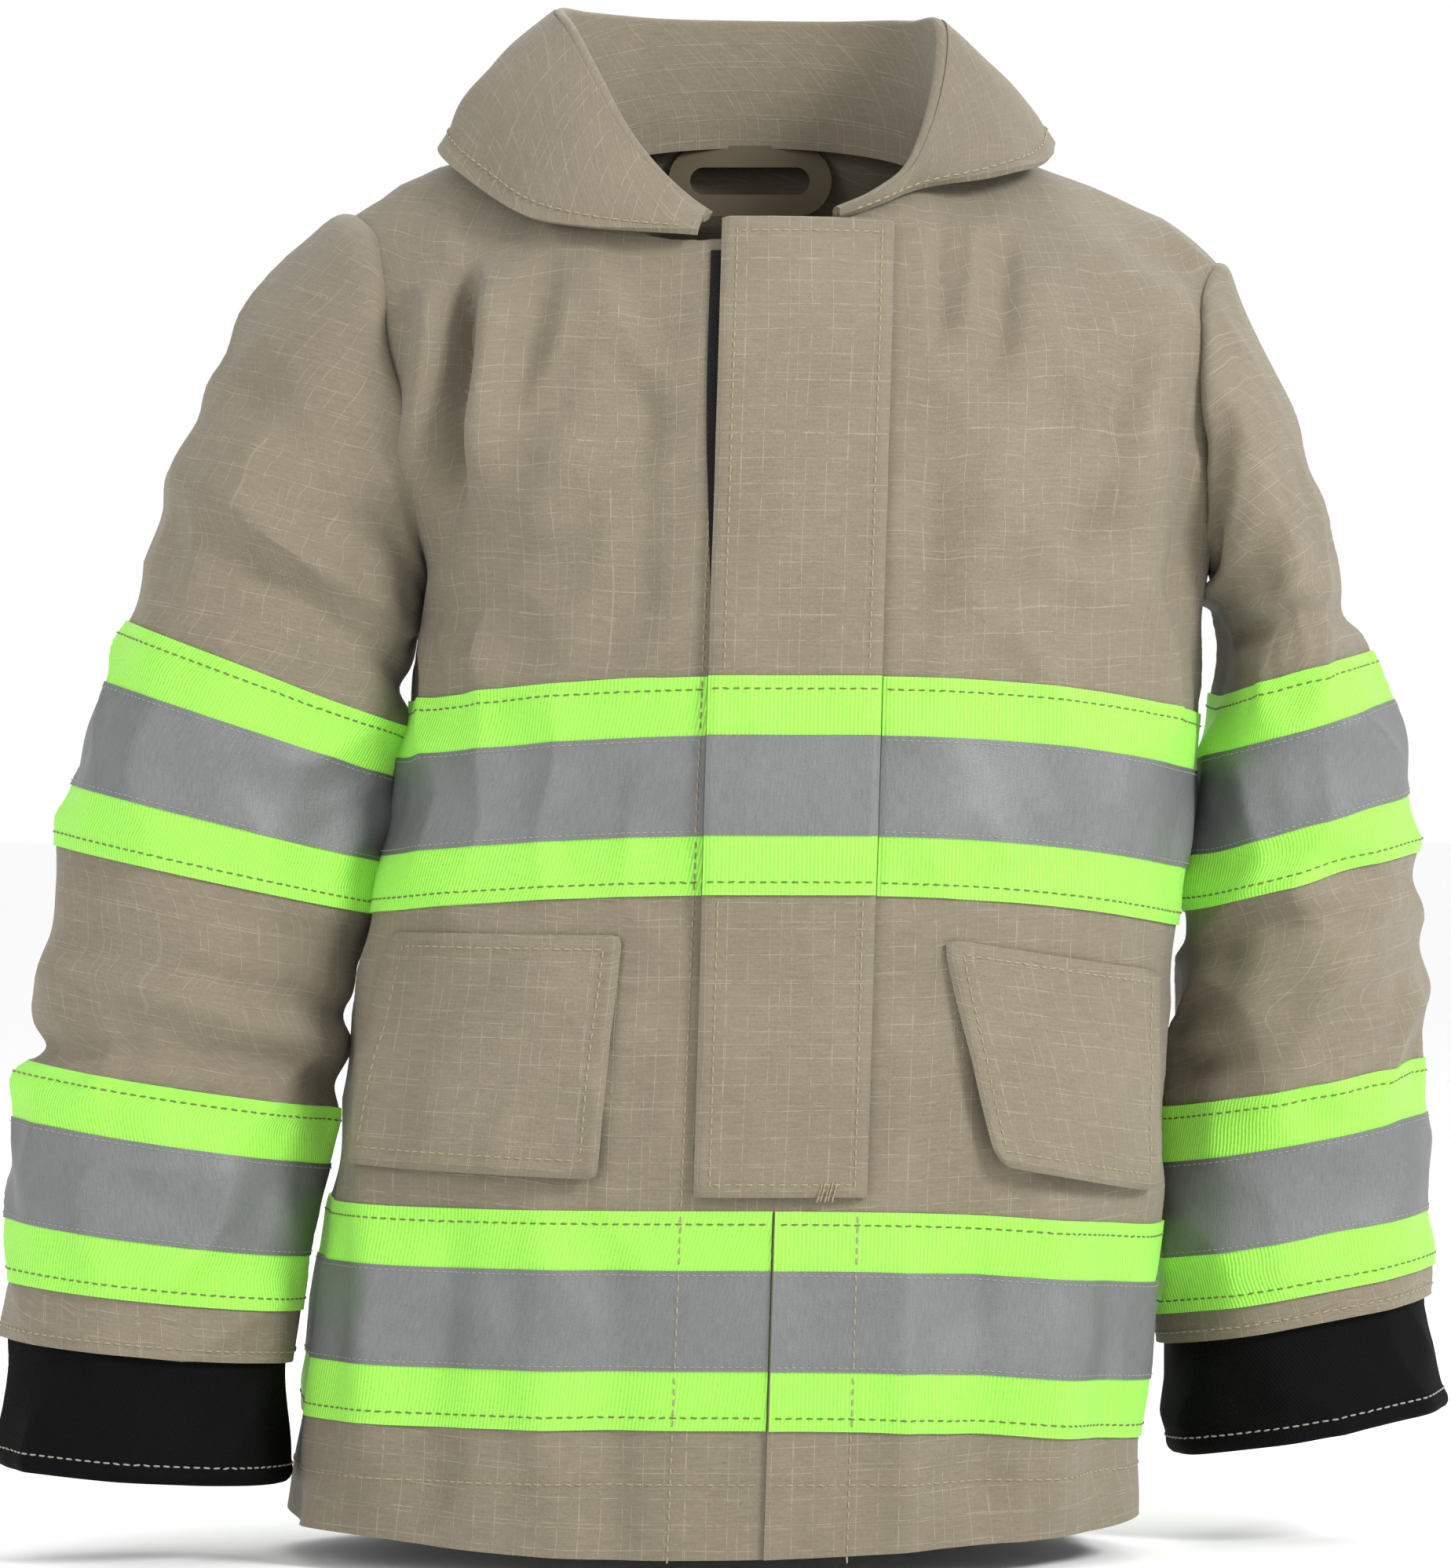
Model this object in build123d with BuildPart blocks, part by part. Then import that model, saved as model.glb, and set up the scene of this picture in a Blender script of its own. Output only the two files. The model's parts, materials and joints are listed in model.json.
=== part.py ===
"""Child's turnout coat, as worn: ripstop shell, lining, storm flap, collar, pocket flaps and sleeves.

Frame: +Z up, the coat's front faces -Y, the wearer's right side is at -X.
The origin is at the bottom centre of the bounding box. All sizes are in millimetres.
"""

from build123d import *
from math import cos, hypot, pi, radians, sin, tan
import os

# ---- cloth ----------------------------------------------------------------------------------
SHELL = 1.6  # outer shell with its seam allowance
LINING = 1.0
TAPE = 0.8  # fluorescent trim
SILVER = 0.4  # reflective strip sewn on the trim
PLY_GAP = 0.1  # between one ply and the next
JOINT_GAP = 0.5  # between two pieces that move apart
TAPE_WIDTH = 76.2  # three-inch trim
SILVER_WIDTH = 35.0

# ---- body -----------------------------------------------------------------------------------
# Rings: height, centre X, centre Y, half width, half depth, squareness of the oval.
BODY_RINGS = [
    (0.0, -5.0, 1.5, 154.0, 99.0, 2.5),
    (110.0, 5.0, 0.0, 150.0, 97.0, 2.5),
    (230.0, 18.0, 0.0, 145.0, 95.0, 2.5),
    (300.0, 29.0, 0.0, 142.0, 93.0, 2.5),
    (352.0, 34.0, 0.0, 140.0, 91.0, 2.4),
    (400.0, 28.0, 0.0, 158.0, 87.0, 2.2),
    (440.0, 19.0, 0.0, 170.0, 80.0, 1.9),
    (466.0, 12.0, 1.0, 163.0, 70.0, 1.6),
    (484.0, 9.0, 3.0, 138.0, 61.0, 1.5),
    (500.0, 8.0, 6.0, 103.0, 52.0, 1.6),
    (512.0, 8.0, 8.0, 74.0, 45.0, 1.8),
]
OVAL_POINTS = 24
SIDE_SEAM_Y = 6.0
BODY_TOP = BODY_RINGS[-1][0]
REACH = 400.0  # longer than any cut has to be

# ---- closed front ---------------------------------------------------------------------------
FRONT_X = 13.0  # where the two front edges meet, at the hem
LEAN = 0.03  # how far in X the front leans for each millimetre of Z
EDGE_WIDTH = 38.0  # from the meeting line to each fold line
FLAP_TOP = 472.0
FLAP_BOTTOM = 131.0
FLAP_INNER = 1.6  # flap's underside, out from the shell
FLAP_THICK = 2.4
FLAP_FREE = 28.0  # from the meeting line to the flap's free edge
FLAP_SEWN = 32.0  # from the meeting line to its sewn edge
HOOK_WIDTH = 20.0
HOOK_THICK = 0.7
HOOK_END = 8.0  # from the flap's ends to the strip's
HOOK_INSET = 4.0  # from the flap's free edge to the strip

# ---- tapes ----------------------------------------------------------------------------------
CHEST_TAPE_Z = 274.0
HEM_TAPE_Z = 88.0

# ---- pocket flaps: outlines as X and Z, clockwise from the inner top corner -------------------
RIGHT_POCKET = [(-36, 222), (-44, 137), (-130, 140), (-117, 222)]
LEFT_POCKET = [(75, 221), (92, 142), (110, 133), (150, 130), (156, 208)]
POCKET_THICK = 2.4
POCKET_SIDE_CLEAR = 30.0  # a flap stops this far in front of the side seam
POUCH_DEPTH = 105.0
POUCH_WIDTH = 68.0
POUCH_INSET = 8.0

# ---- sleeves: centre X, Y, Z, half width, half depth, lean of the ring in degrees --------------
RIGHT_SLEEVE = [
    (-131.9, 3.0, 419.3, 64.7, 58.0, 71.2),
    (-144.0, 3.0, 398.5, 63.5, 57.0, 56.8),
    (-157.5, 2.0, 353.5, 51.5, 54.0, 31.6),
    (-177.5, -2.0, 277.0, 54.0, 51.0, 16.0),
    (-191.0, -8.0, 207.0, 54.5, 48.0, 10.0),
    (-202.0, -16.0, 130.0, 53.5, 46.0, 8.0),
    (-207.5, -22.0, 73.0, 52.5, 45.0, 5.0),
    (-210.0, -25.0, 29.0, 51.5, 44.0, 4.0),
]
LEFT_SLEEVE = [
    (177.5, 4.0, 408.0, 55.0, 56.0, -89.0),
    (191.0, 8.0, 378.5, 36.0, 58.0, -67.5),
    (201.0, 14.0, 345.0, 26.0, 60.0, -26.0),
    (211.0, 20.0, 277.0, 37.0, 56.0, -18.0),
    (211.0, 28.0, 205.0, 43.0, 53.0, -12.0),
    (211.0, 36.0, 128.0, 46.5, 50.0, -10.0),
    (213.0, 40.0, 79.0, 47.5, 48.0, -10.0),
    (216.0, 43.0, 38.0, 49.5, 46.0, -10.0),
]
UPPER_TAPE, ELBOW, LOWER_TAPE, CUFF_TOP = 3, 4, 5, 6  # which ring each feature is on
ARMPIT_CLEAR = 1.0  # the armhole is cut this far past the sleeve
CUFF_TUCK = 10.0  # how far the cuff is sewn up inside the sleeve

# ---- neck: centre X, Y, Z, half width, half length along the tilt, tilt in degrees --------------
NECK_SEAM = (9.0, -12.0, 492.0, 68.0, 62.0, 18.0)
# Collar sections round the neck: angle from the centre back, then the radius and height of the
# collar's fold and the radius and height of its outer edge.
COLLAR_SECTIONS = [
    (-170, 50.0, 475.0, 58.0, 472.0),
    (-159, 52.0, 480.0, 62.0, 474.0),
    (-145, 56.0, 492.0, 68.0, 474.0),
    (-132, 60.0, 507.0, 76.0, 474.0),
    (-120, 63.0, 526.0, 88.0, 477.0),
    (-105, 66.0, 544.0, 102.0, 488.0),
    (-86, 69.0, 553.0, 113.0, 505.0),
    (-60, 67.0, 555.0, 100.0, 510.0),
    (-30, 63.0, 555.0, 84.0, 508.0),
    (0, 61.0, 555.0, 77.0, 506.0),
    (30, 63.0, 554.0, 84.0, 507.0),
    (60, 67.0, 552.0, 98.0, 508.0),
    (86, 69.0, 546.0, 108.0, 503.0),
    (100, 68.0, 526.0, 104.0, 495.0),
    (112, 67.0, 507.0, 92.0, 490.0),
    (122, 66.0, 494.0, 74.0, 487.0),
    (135, 63.0, 485.0, 69.0, 482.0),
]
COLLAR_PLY = 1.4
STAND_PLY = 1.6
STAND_INSET = 2.0  # the stand's foot sits this far inside the neck seam
COLLAR_END = 3.0  # from each fold line to the collar's front end
NECK_CUT_UP = 60.0
NECK_CUT_DOWN = 16.0
LOOP_WIDTH, LOOP_HEIGHT, LOOP_PLY, LOOP_TAPE = 60.0, 26.0, 1.6, 8.0
LOOP_X, LOOP_Y, LOOP_Z = 9.0, 45.5, 496.3

os.makedirs("parts", exist_ok=True)


# ---- shapes that repeat -----------------------------------------------------------------------
def signed_power(value, power):
    return abs(value) ** power * (1 if value >= 0 else -1)


def oval(half_width, half_depth, squareness):
    """Points of a superellipse, evenly spaced in angle."""
    angles = [2 * pi * k / OVAL_POINTS for k in range(OVAL_POINTS)]
    return [
        (half_width * signed_power(cos(a), 2 / squareness), half_depth * signed_power(sin(a), 2 / squareness))
        for a in angles
    ]


def body_form(offset):
    """The body's closed form, its surface moved out by offset."""
    with BuildPart() as form:
        for z, cx, cy, half_width, half_depth, squareness in BODY_RINGS:
            with BuildSketch(Plane(origin=(cx, cy, z))):
                with BuildLine():
                    Spline(oval(half_width + offset, half_depth + offset, squareness), periodic=True)
                make_face()
        loft(ruled=True)
    return form.part


def body_ply(inner, outer):
    """One layer of cloth round the whole body, with the neck and both armholes cut out."""
    with BuildPart() as ply:
        add(body_form(outer))
        add(body_form(inner), mode=Mode.SUBTRACT)
        add(NECK_CUT, mode=Mode.SUBTRACT)
        for cut in ARMHOLE_CUTS:
            add(cut, mode=Mode.SUBTRACT)
    return ply.part


def ring_plane(x, y, z, lean):
    """The plane of a sleeve ring, whose width leans towards the body."""
    return Plane(origin=(x, y, z)).rotated((0, lean, 0))


def tilted_plane(x, y, z, tilt):
    return Plane(origin=(x, y, z)).rotated((tilt, 0, 0))


def sleeve_form(rings, offset):
    """A closed sleeve form, lofted from each ring to the next."""
    with BuildPart() as form:
        for pair in zip(rings, rings[1:]):
            for x, y, z, half_width, half_depth, lean in pair:
                with BuildSketch(ring_plane(x, y, z, lean)):
                    with BuildLine():
                        Spline(oval(half_width + offset, half_depth + offset, 2), periodic=True)
                    make_face()
            loft(ruled=True)
    return form.part


def sleeve_ply(rings, inner, outer):
    with BuildPart() as ply:
        add(sleeve_form(rings, outer))
        add(sleeve_form(rings, inner), mode=Mode.SUBTRACT)
    return ply.part


def neck_ply(ends, inner, outer):
    """A band of cloth round the neck: ends are its upper and lower edges at each section angle."""
    with BuildPart() as ply:
        for angle, r0, z0, r1, z1 in ends:
            radial = (sin(radians(angle)), cos(radians(angle)), 0)
            length = hypot(r1 - r0, z1 - z0)
            nr, nz = (z0 - z1) / length, (r1 - r0) / length
            with BuildSketch(Plane(origin=(*NECK_SEAM[:2], 0), x_dir=radial, z_dir=(radial[1], -radial[0], 0))):
                with BuildLine():
                    Polyline(
                        (r0 + nr * inner, z0 + nz * inner),
                        (r0 + nr * outer, z0 + nz * outer),
                        (r1 + nr * outer, z1 + nz * outer),
                        (r1 + nr * inner, z1 + nz * inner),
                        close=True,
                    )
                make_face()
        loft(ruled=True)
    return ply.part


def block(x0, x1, y0, y1, z0, z1):
    """A box between two corners, leaning with the coat's front."""
    with BuildPart() as made:
        with BuildSketch(Plane.XZ.offset(-y1)):
            with BuildLine():
                Polyline(
                    (x0 + LEAN * z0, z0),
                    (x1 + LEAN * z0, z0),
                    (x1 + LEAN * z1, z1),
                    (x0 + LEAN * z1, z1),
                    close=True,
                )
            make_face()
        extrude(amount=y1 - y0)
    return made.part


def outline_block(points, y0, y1):
    with BuildPart() as made:
        with BuildSketch(Plane.XZ.offset(-y1)):
            with BuildLine():
                Polyline(*points, close=True)
            make_face()
        extrude(amount=y1 - y0)
    return made.part


def common(first, second):
    with BuildPart() as made:
        add(first)
        add(second, mode=Mode.INTERSECT)
    return made.part


written = []


def write(part, name):
    part.label = name
    export_step(part, f"parts/{name}.step")
    box = part.bounding_box()
    written.append(box)


# ---- cuts through the body ----------------------------------------------------------------------
with BuildPart() as neck_cut:
    with BuildSketch(tilted_plane(*NECK_SEAM[:3], NECK_SEAM[5])):
        Ellipse(NECK_SEAM[3], NECK_SEAM[4])
    extrude(amount=NECK_CUT_UP)
    with BuildSketch(tilted_plane(*NECK_SEAM[:3], NECK_SEAM[5])):
        Ellipse(NECK_SEAM[3], NECK_SEAM[4])
    extrude(amount=-NECK_CUT_DOWN)
NECK_CUT = neck_cut.part


def armhole_cut(rings, shoulder_side):
    """Everything outside the plane of a sleeve's first ring, down to the armpit."""
    x, y, z, half_width, _, lean = rings[0]
    top = shoulder_side * REACH / 2
    armpit = -shoulder_side * (half_width + ARMPIT_CLEAR)
    with BuildPart() as cut:
        with BuildSketch(ring_plane(x, y, z, lean)):
            with Locations(((top + armpit) / 2, 0)):
                Rectangle(abs(top - armpit), REACH)
        extrude(amount=-REACH / 2)
    return cut.part


ARMHOLE_CUTS = [armhole_cut(RIGHT_SLEEVE, -1), armhole_cut(LEFT_SLEEVE, 1)]

# ---- regions of the body, each a block that a ply is cut to -----------------------------------------
FOLD_RIGHT = FRONT_X - EDGE_WIDTH
FOLD_LEFT = FRONT_X + EDGE_WIDTH
FRONT_Y = (-REACH / 2, SIDE_SEAM_Y - JOINT_GAP / 2)
BACK_Y = (SIDE_SEAM_Y + JOINT_GAP / 2, REACH / 2)
WHOLE_Z = (-1.0, REACH + 200.0)


def region(x0, x1, y_range, z_range=WHOLE_Z):
    return block(x0, x1, *y_range, *z_range)


REGIONS = {
    "back": region(-REACH, REACH, BACK_Y),
    "right_front": region(-REACH, FOLD_RIGHT - JOINT_GAP, FRONT_Y),
    "right_edge": region(FOLD_RIGHT, FRONT_X - JOINT_GAP, FRONT_Y),
    "left_edge": region(FRONT_X + JOINT_GAP, FOLD_LEFT, FRONT_Y),
    "left_front": region(FOLD_LEFT + JOINT_GAP, REACH, FRONT_Y),
}

# ---- shell and lining ------------------------------------------------------------------------------
shell = body_ply(-SHELL, 0.0)
SHELL_NAMES = {
    "back": "back_panel",
    "right_front": "right_front_panel",
    "right_edge": "right_front_edge",
    "left_edge": "left_front_edge",
    "left_front": "left_front_panel",
}
for place, name in SHELL_NAMES.items():
    write(common(shell, REGIONS[place]), name)

lining_outer = -SHELL - PLY_GAP
lining = body_ply(lining_outer - LINING, lining_outer)
LINING_NAMES = {
    "back": "back_lining",
    "right_front": "right_front_lining",
    "right_edge": "right_front_facing",
    "left_edge": "left_front_facing",
    "left_front": "left_front_lining",
}
for place, name in LINING_NAMES.items():
    write(common(lining, REGIONS[place]), name)

# ---- tapes round the body ----------------------------------------------------------------------------
tape_inner = PLY_GAP
tape_outer = tape_inner + TAPE
silver_inner = tape_outer + PLY_GAP
silver_outer = silver_inner + SILVER
tape_ply = body_ply(tape_inner, tape_outer)
silver_ply = body_ply(silver_inner, silver_outer)


def band(z, width):
    return (z - width / 2, z + width / 2)


def write_tape(place, x0, x1, y_range, middle, name):
    """A tape and the reflective strip along its middle."""
    write(common(tape_ply, region(x0, x1, y_range, band(middle, TAPE_WIDTH))), f"{place}_{name}_tape")
    write(common(silver_ply, region(x0, x1, y_range, band(middle, SILVER_WIDTH))), f"{place}_{name}_silver")


FLAP_FREE_X = FRONT_X - FLAP_FREE
FLAP_SEWN_X = FRONT_X + FLAP_SEWN
write_tape("back", -REACH, REACH, BACK_Y, CHEST_TAPE_Z, "chest")
write_tape("back", -REACH, REACH, BACK_Y, HEM_TAPE_Z, "hem")
write_tape("right", -REACH, FOLD_RIGHT - JOINT_GAP, FRONT_Y, CHEST_TAPE_Z, "chest")
write_tape("right", -REACH, FOLD_RIGHT - JOINT_GAP, FRONT_Y, HEM_TAPE_Z, "hem")
write_tape("left", FOLD_LEFT + JOINT_GAP, REACH, FRONT_Y, CHEST_TAPE_Z, "chest")
write_tape("left", FOLD_LEFT + JOINT_GAP, REACH, FRONT_Y, HEM_TAPE_Z, "hem")
write_tape("right_edge", FOLD_RIGHT, FLAP_FREE_X - JOINT_GAP, FRONT_Y, CHEST_TAPE_Z, "chest")
write_tape("right_edge", FOLD_RIGHT, FRONT_X - JOINT_GAP, FRONT_Y, HEM_TAPE_Z, "hem")
write_tape("left_edge", FRONT_X + JOINT_GAP, FOLD_LEFT, FRONT_Y, HEM_TAPE_Z, "hem")

# ---- storm flap ------------------------------------------------------------------------------------------
flap_outer = FLAP_INNER + FLAP_THICK
flap_z = (FLAP_BOTTOM, FLAP_TOP)
flap_ply = common(body_ply(FLAP_INNER, flap_outer), region(FLAP_FREE_X, FLAP_SEWN_X, FRONT_Y, flap_z))
write(flap_ply, "storm_flap")
strip_z = (FLAP_BOTTOM + HOOK_END, FLAP_TOP - HOOK_END)
strip_x = (FLAP_FREE_X + HOOK_INSET, FLAP_FREE_X + HOOK_INSET + HOOK_WIDTH)
hook_inner = FLAP_INNER - HOOK_THICK
loop_outer = hook_inner - PLY_GAP
write(common(body_ply(hook_inner, FLAP_INNER), region(*strip_x, FRONT_Y, strip_z)), "flap_hook_strip")
write(common(body_ply(PLY_GAP, loop_outer), region(*strip_x, FRONT_Y, strip_z)), "front_loop_strip")
flap_tape_inner = flap_outer + PLY_GAP
flap_tape_outer = flap_tape_inner + TAPE
flap_band = region(FLAP_FREE_X, FLAP_SEWN_X, FRONT_Y, band(CHEST_TAPE_Z, TAPE_WIDTH))
write(common(body_ply(flap_tape_inner, flap_tape_outer), flap_band), "flap_tape")
flap_silver_band = region(FLAP_FREE_X, FLAP_SEWN_X, FRONT_Y, band(CHEST_TAPE_Z, SILVER_WIDTH))
flap_silver_inner = flap_tape_outer + PLY_GAP
write(common(body_ply(flap_silver_inner, flap_silver_inner + SILVER), flap_silver_band), "flap_silver")

# ---- pocket flaps and the pouches inside them ------------------------------------------------------------
pocket_ply = body_ply(PLY_GAP, PLY_GAP + POCKET_THICK)
pouch_outer = lining_outer - LINING - PLY_GAP
pouch_ply = body_ply(pouch_outer - SHELL, pouch_outer)
for side, outline in (("right", RIGHT_POCKET), ("left", LEFT_POCKET)):
    write(common(pocket_ply, outline_block(outline, -REACH / 2, SIDE_SEAM_Y - POCKET_SIDE_CLEAR)), f"{side}_pocket_flap")
    inner_x, top_z = outline[0]
    outward = 1 if side == "left" else -1
    near_x = inner_x + outward * POUCH_INSET
    far_x = near_x + outward * POUCH_WIDTH
    pouch = [(near_x, top_z), (near_x, top_z - POUCH_DEPTH), (far_x, top_z - POUCH_DEPTH), (far_x, top_z)]
    write(common(pouch_ply, outline_block(pouch, -REACH / 2, 0.0)), f"{side}_pocket_pouch")

# ---- collar and hanger loop ----------------------------------------------------------------------------------
collar_gap = region(FOLD_RIGHT - COLLAR_END, FOLD_LEFT + COLLAR_END, (-REACH / 2, NECK_SEAM[1]))


def stand_foot(angle):
    """Radius and height of the stand's lower edge, just inside the neck seam."""
    _, y, z, half_width, half_length, tilt = NECK_SEAM
    across = half_length * cos(radians(tilt))
    r = 1 / hypot(sin(radians(angle)) / half_width, cos(radians(angle)) / across)
    return r - STAND_INSET, z + r * cos(radians(angle)) * tan(radians(tilt))


stand_ends = [(angle, r, z, *stand_foot(angle)) for angle, r, z, _, _ in COLLAR_SECTIONS]
under_outer = PLY_GAP + COLLAR_PLY
upper_inner = under_outer + PLY_GAP
NECK_PIECES = {
    "collar_stand": (stand_ends, -STAND_PLY, 0.0),
    "under_collar": (COLLAR_SECTIONS, PLY_GAP, under_outer),
    "upper_collar": (COLLAR_SECTIONS, upper_inner, upper_inner + COLLAR_PLY),
}
for name, (ends, inner, outer) in NECK_PIECES.items():
    with BuildPart() as piece:
        add(neck_ply(ends, inner, outer))
        add(collar_gap, mode=Mode.SUBTRACT)
    write(piece.part, name)

with BuildPart() as hanger_loop:
    with BuildSketch(Plane.XZ.offset(-LOOP_Y)):
        with Locations((LOOP_X, LOOP_Z)):
            SlotOverall(LOOP_WIDTH, LOOP_HEIGHT)
            SlotOverall(LOOP_WIDTH - 2 * LOOP_TAPE, LOOP_HEIGHT - 2 * LOOP_TAPE, mode=Mode.SUBTRACT)
    extrude(amount=LOOP_PLY)
write(hanger_loop.part, "hanger_loop")


# ---- sleeves ---------------------------------------------------------------------------------------------------
def ring_slab(ring, below, above):
    """The space between two planes parallel to a sleeve ring."""
    x, y, z, _, _, lean = ring
    with BuildPart() as slab:
        with BuildSketch(ring_plane(x, y, z, lean).offset(-below)):
            Rectangle(REACH, REACH)
        extrude(amount=below + above)
    return slab.part


SLEEVE_PLIES = {"": (-SHELL, 0.0), "_lining": (lining_outer - LINING, lining_outer)}
for side, rings in (("right", RIGHT_SLEEVE), ("left", LEFT_SLEEVE)):
    upper_rings = rings[: ELBOW + 1]
    lower_rings = rings[ELBOW:]
    sleeve_rings = rings[ELBOW : CUFF_TOP + 1]
    for suffix, (inner, outer) in SLEEVE_PLIES.items():
        with BuildPart() as upper_sleeve:
            add(sleeve_ply(upper_rings, inner, outer))
            add(ring_slab(rings[0], JOINT_GAP, JOINT_GAP), mode=Mode.SUBTRACT)
        write(upper_sleeve.part, f"{side}_upper_sleeve{suffix}")
        with BuildPart() as lower_sleeve:
            add(sleeve_ply(sleeve_rings, inner, outer))
            add(ring_slab(rings[ELBOW], JOINT_GAP, JOINT_GAP), mode=Mode.SUBTRACT)
        write(lower_sleeve.part, f"{side}_lower_sleeve{suffix}")
    cuff_outer = lining_outer - LINING - PLY_GAP
    cuff_reach = ring_slab(rings[CUFF_TOP], REACH / 2, CUFF_TUCK)
    write(common(sleeve_ply(lower_rings, cuff_outer - SHELL, cuff_outer), cuff_reach), f"{side}_cuff")
    for place, ring, part_rings in (
        ("upper", rings[UPPER_TAPE], upper_rings),
        ("lower", rings[LOWER_TAPE], lower_rings),
    ):
        for kind, width, inner, outer in (
            ("tape", TAPE_WIDTH, tape_inner, tape_outer),
            ("silver", SILVER_WIDTH, silver_inner, silver_outer),
        ):
            slab = ring_slab(ring, width / 2, width / 2)
            write(common(sleeve_ply(part_rings, inner, outer), slab), f"{side}_{place}_sleeve_{kind}")

low = [min(box.min.X for box in written), min(box.min.Y for box in written), min(box.min.Z for box in written)]
high = [max(box.max.X for box in written), max(box.max.Y for box in written), max(box.max.Z for box in written)]
print("low", [round(v, 2) for v in low], "high", [round(v, 2) for v in high], len(written), "nodes")
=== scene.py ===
"""Looks of the child's turnout coat: cloth, trim, stitching, collar, cuffs, camera and light."""

import json
from math import atan2, cos, hypot, pi, radians, sin, tan

import bmesh
import bpy
import numpy as np
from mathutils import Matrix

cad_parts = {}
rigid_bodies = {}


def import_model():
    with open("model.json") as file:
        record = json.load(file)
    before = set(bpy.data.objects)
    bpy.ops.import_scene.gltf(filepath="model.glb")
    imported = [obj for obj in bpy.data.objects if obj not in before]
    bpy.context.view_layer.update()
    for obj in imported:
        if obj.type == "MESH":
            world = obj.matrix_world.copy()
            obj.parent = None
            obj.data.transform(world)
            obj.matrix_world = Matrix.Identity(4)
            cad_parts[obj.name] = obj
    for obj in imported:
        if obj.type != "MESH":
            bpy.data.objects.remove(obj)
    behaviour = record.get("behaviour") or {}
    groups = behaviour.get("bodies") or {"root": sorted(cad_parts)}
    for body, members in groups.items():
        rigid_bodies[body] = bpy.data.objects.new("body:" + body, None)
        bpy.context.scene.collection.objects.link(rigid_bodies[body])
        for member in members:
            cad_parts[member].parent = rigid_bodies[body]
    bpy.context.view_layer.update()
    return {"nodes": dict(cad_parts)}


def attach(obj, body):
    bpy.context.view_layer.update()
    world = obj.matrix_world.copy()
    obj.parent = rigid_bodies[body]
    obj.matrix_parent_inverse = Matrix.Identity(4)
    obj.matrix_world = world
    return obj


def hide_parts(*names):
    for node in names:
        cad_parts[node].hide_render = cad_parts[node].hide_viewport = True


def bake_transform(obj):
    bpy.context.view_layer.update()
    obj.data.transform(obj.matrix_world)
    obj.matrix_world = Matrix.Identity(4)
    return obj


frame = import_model()
MM = 0.001

# ---- the coat's forms, in millimetres, as in the CAD ----
# Body rings: height, centre X, centre Y, half width, half depth, squareness.
BODY = np.array([
    (0, -5, 1.5, 154, 99, 2.5),
    (110, 5, 0, 150, 97, 2.5),
    (230, 18, 0, 145, 95, 2.5),
    (300, 29, 0, 142, 93, 2.5),
    (352, 34, 0, 140, 91, 2.4),
    (400, 28, 0, 158, 87, 2.2),
    (440, 19, 0, 170, 80, 1.9),
    (466, 12, 1, 163, 70, 1.6),
    (484, 9, 3, 138, 61, 1.5),
    (500, 8, 6, 103, 52, 1.6),
    (512, 8, 8, 74, 45, 1.8),
])
# Sleeve rings: centre X, Y, Z, half width, half depth, lean in degrees.
SLEEVES = {
    "right": np.array([
        (-131.9, 3, 419.3, 64.7, 58, 71.2),
        (-144, 3, 398.5, 63.5, 57, 56.8),
        (-155.5, 2, 353.5, 53.5, 54, 31.6),
        (-173.5, -2, 277, 58, 51, 16),
        (-189, -8, 207, 56.5, 48, 10),
        (-202, -16, 130, 53.5, 46, 8),
        (-207.5, -22, 73, 52.5, 45, 5),
        (-210, -25, 29, 51.5, 44, 4),
    ]),
    "left": np.array([
        (177.5, 4, 408, 55, 56, -89),
        (191, 8, 378.5, 36, 58, -67.5),
        (201, 14, 345, 26, 60, -26),
        (208.5, 20, 277, 39.5, 56, -18),
        (207, 28, 205, 47, 53, -12),
        (206, 36, 128, 51.5, 50, -10),
        (208.5, 40, 79, 52, 48, -10),
        (214, 43, 38, 51.5, 46, -10),
    ]),
}
UPPER_TAPE, ELBOW, LOWER_TAPE, CUFF_TOP, MOUTH = 3, 4, 5, 6, 7
NECK = (9, -12, 492, 68, 62, 18)
# Collar sections: angle from the centre back, fold radius and height, edge radius and height.
COLLAR = np.array([
    (-170, 50, 473, 60, 467),
    (-159, 52, 479, 65, 468),
    (-145, 56, 491, 71, 469),
    (-132, 60, 507, 79, 470),
    (-120, 63, 526, 89, 474),
    (-105, 66, 544, 102, 488),
    (-86, 69, 553, 113, 505),
    (-60, 67, 555, 100, 510),
    (-30, 63, 555, 84, 508),
    (0, 61, 555, 77, 506),
    (30, 63, 554, 84, 507),
    (60, 67, 552, 98, 508),
    (86, 69, 546, 108, 503),
    (100, 68, 526, 104, 495),
    (112, 67, 507, 92, 490),
    (122, 66, 494, 74, 487),
    (135, 62, 484, 66, 480),
    (150, 58, 477, 61, 474),
], float)
FRONT_X, LEAN = 13.0, 0.03
FOLD_RIGHT, FOLD_LEFT = -25.0, 51.0
FLAP_FREE_X, FLAP_SEWN_X = -15.0, 45.0
FLAP_TOP, FLAP_BOTTOM = 472.0, 131.0
TAPE_WIDTH, SILVER_WIDTH = 76.2, 35.0
CHEST_TAPE_Z, HEM_TAPE_Z = 274.0, 88.0
RIGHT_POCKET = [(-36, 222), (-117, 222), (-130, 140), (-44, 137)]
LEFT_POCKET = [(75, 221), (156, 208), (150, 130), (92, 142)]


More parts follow.
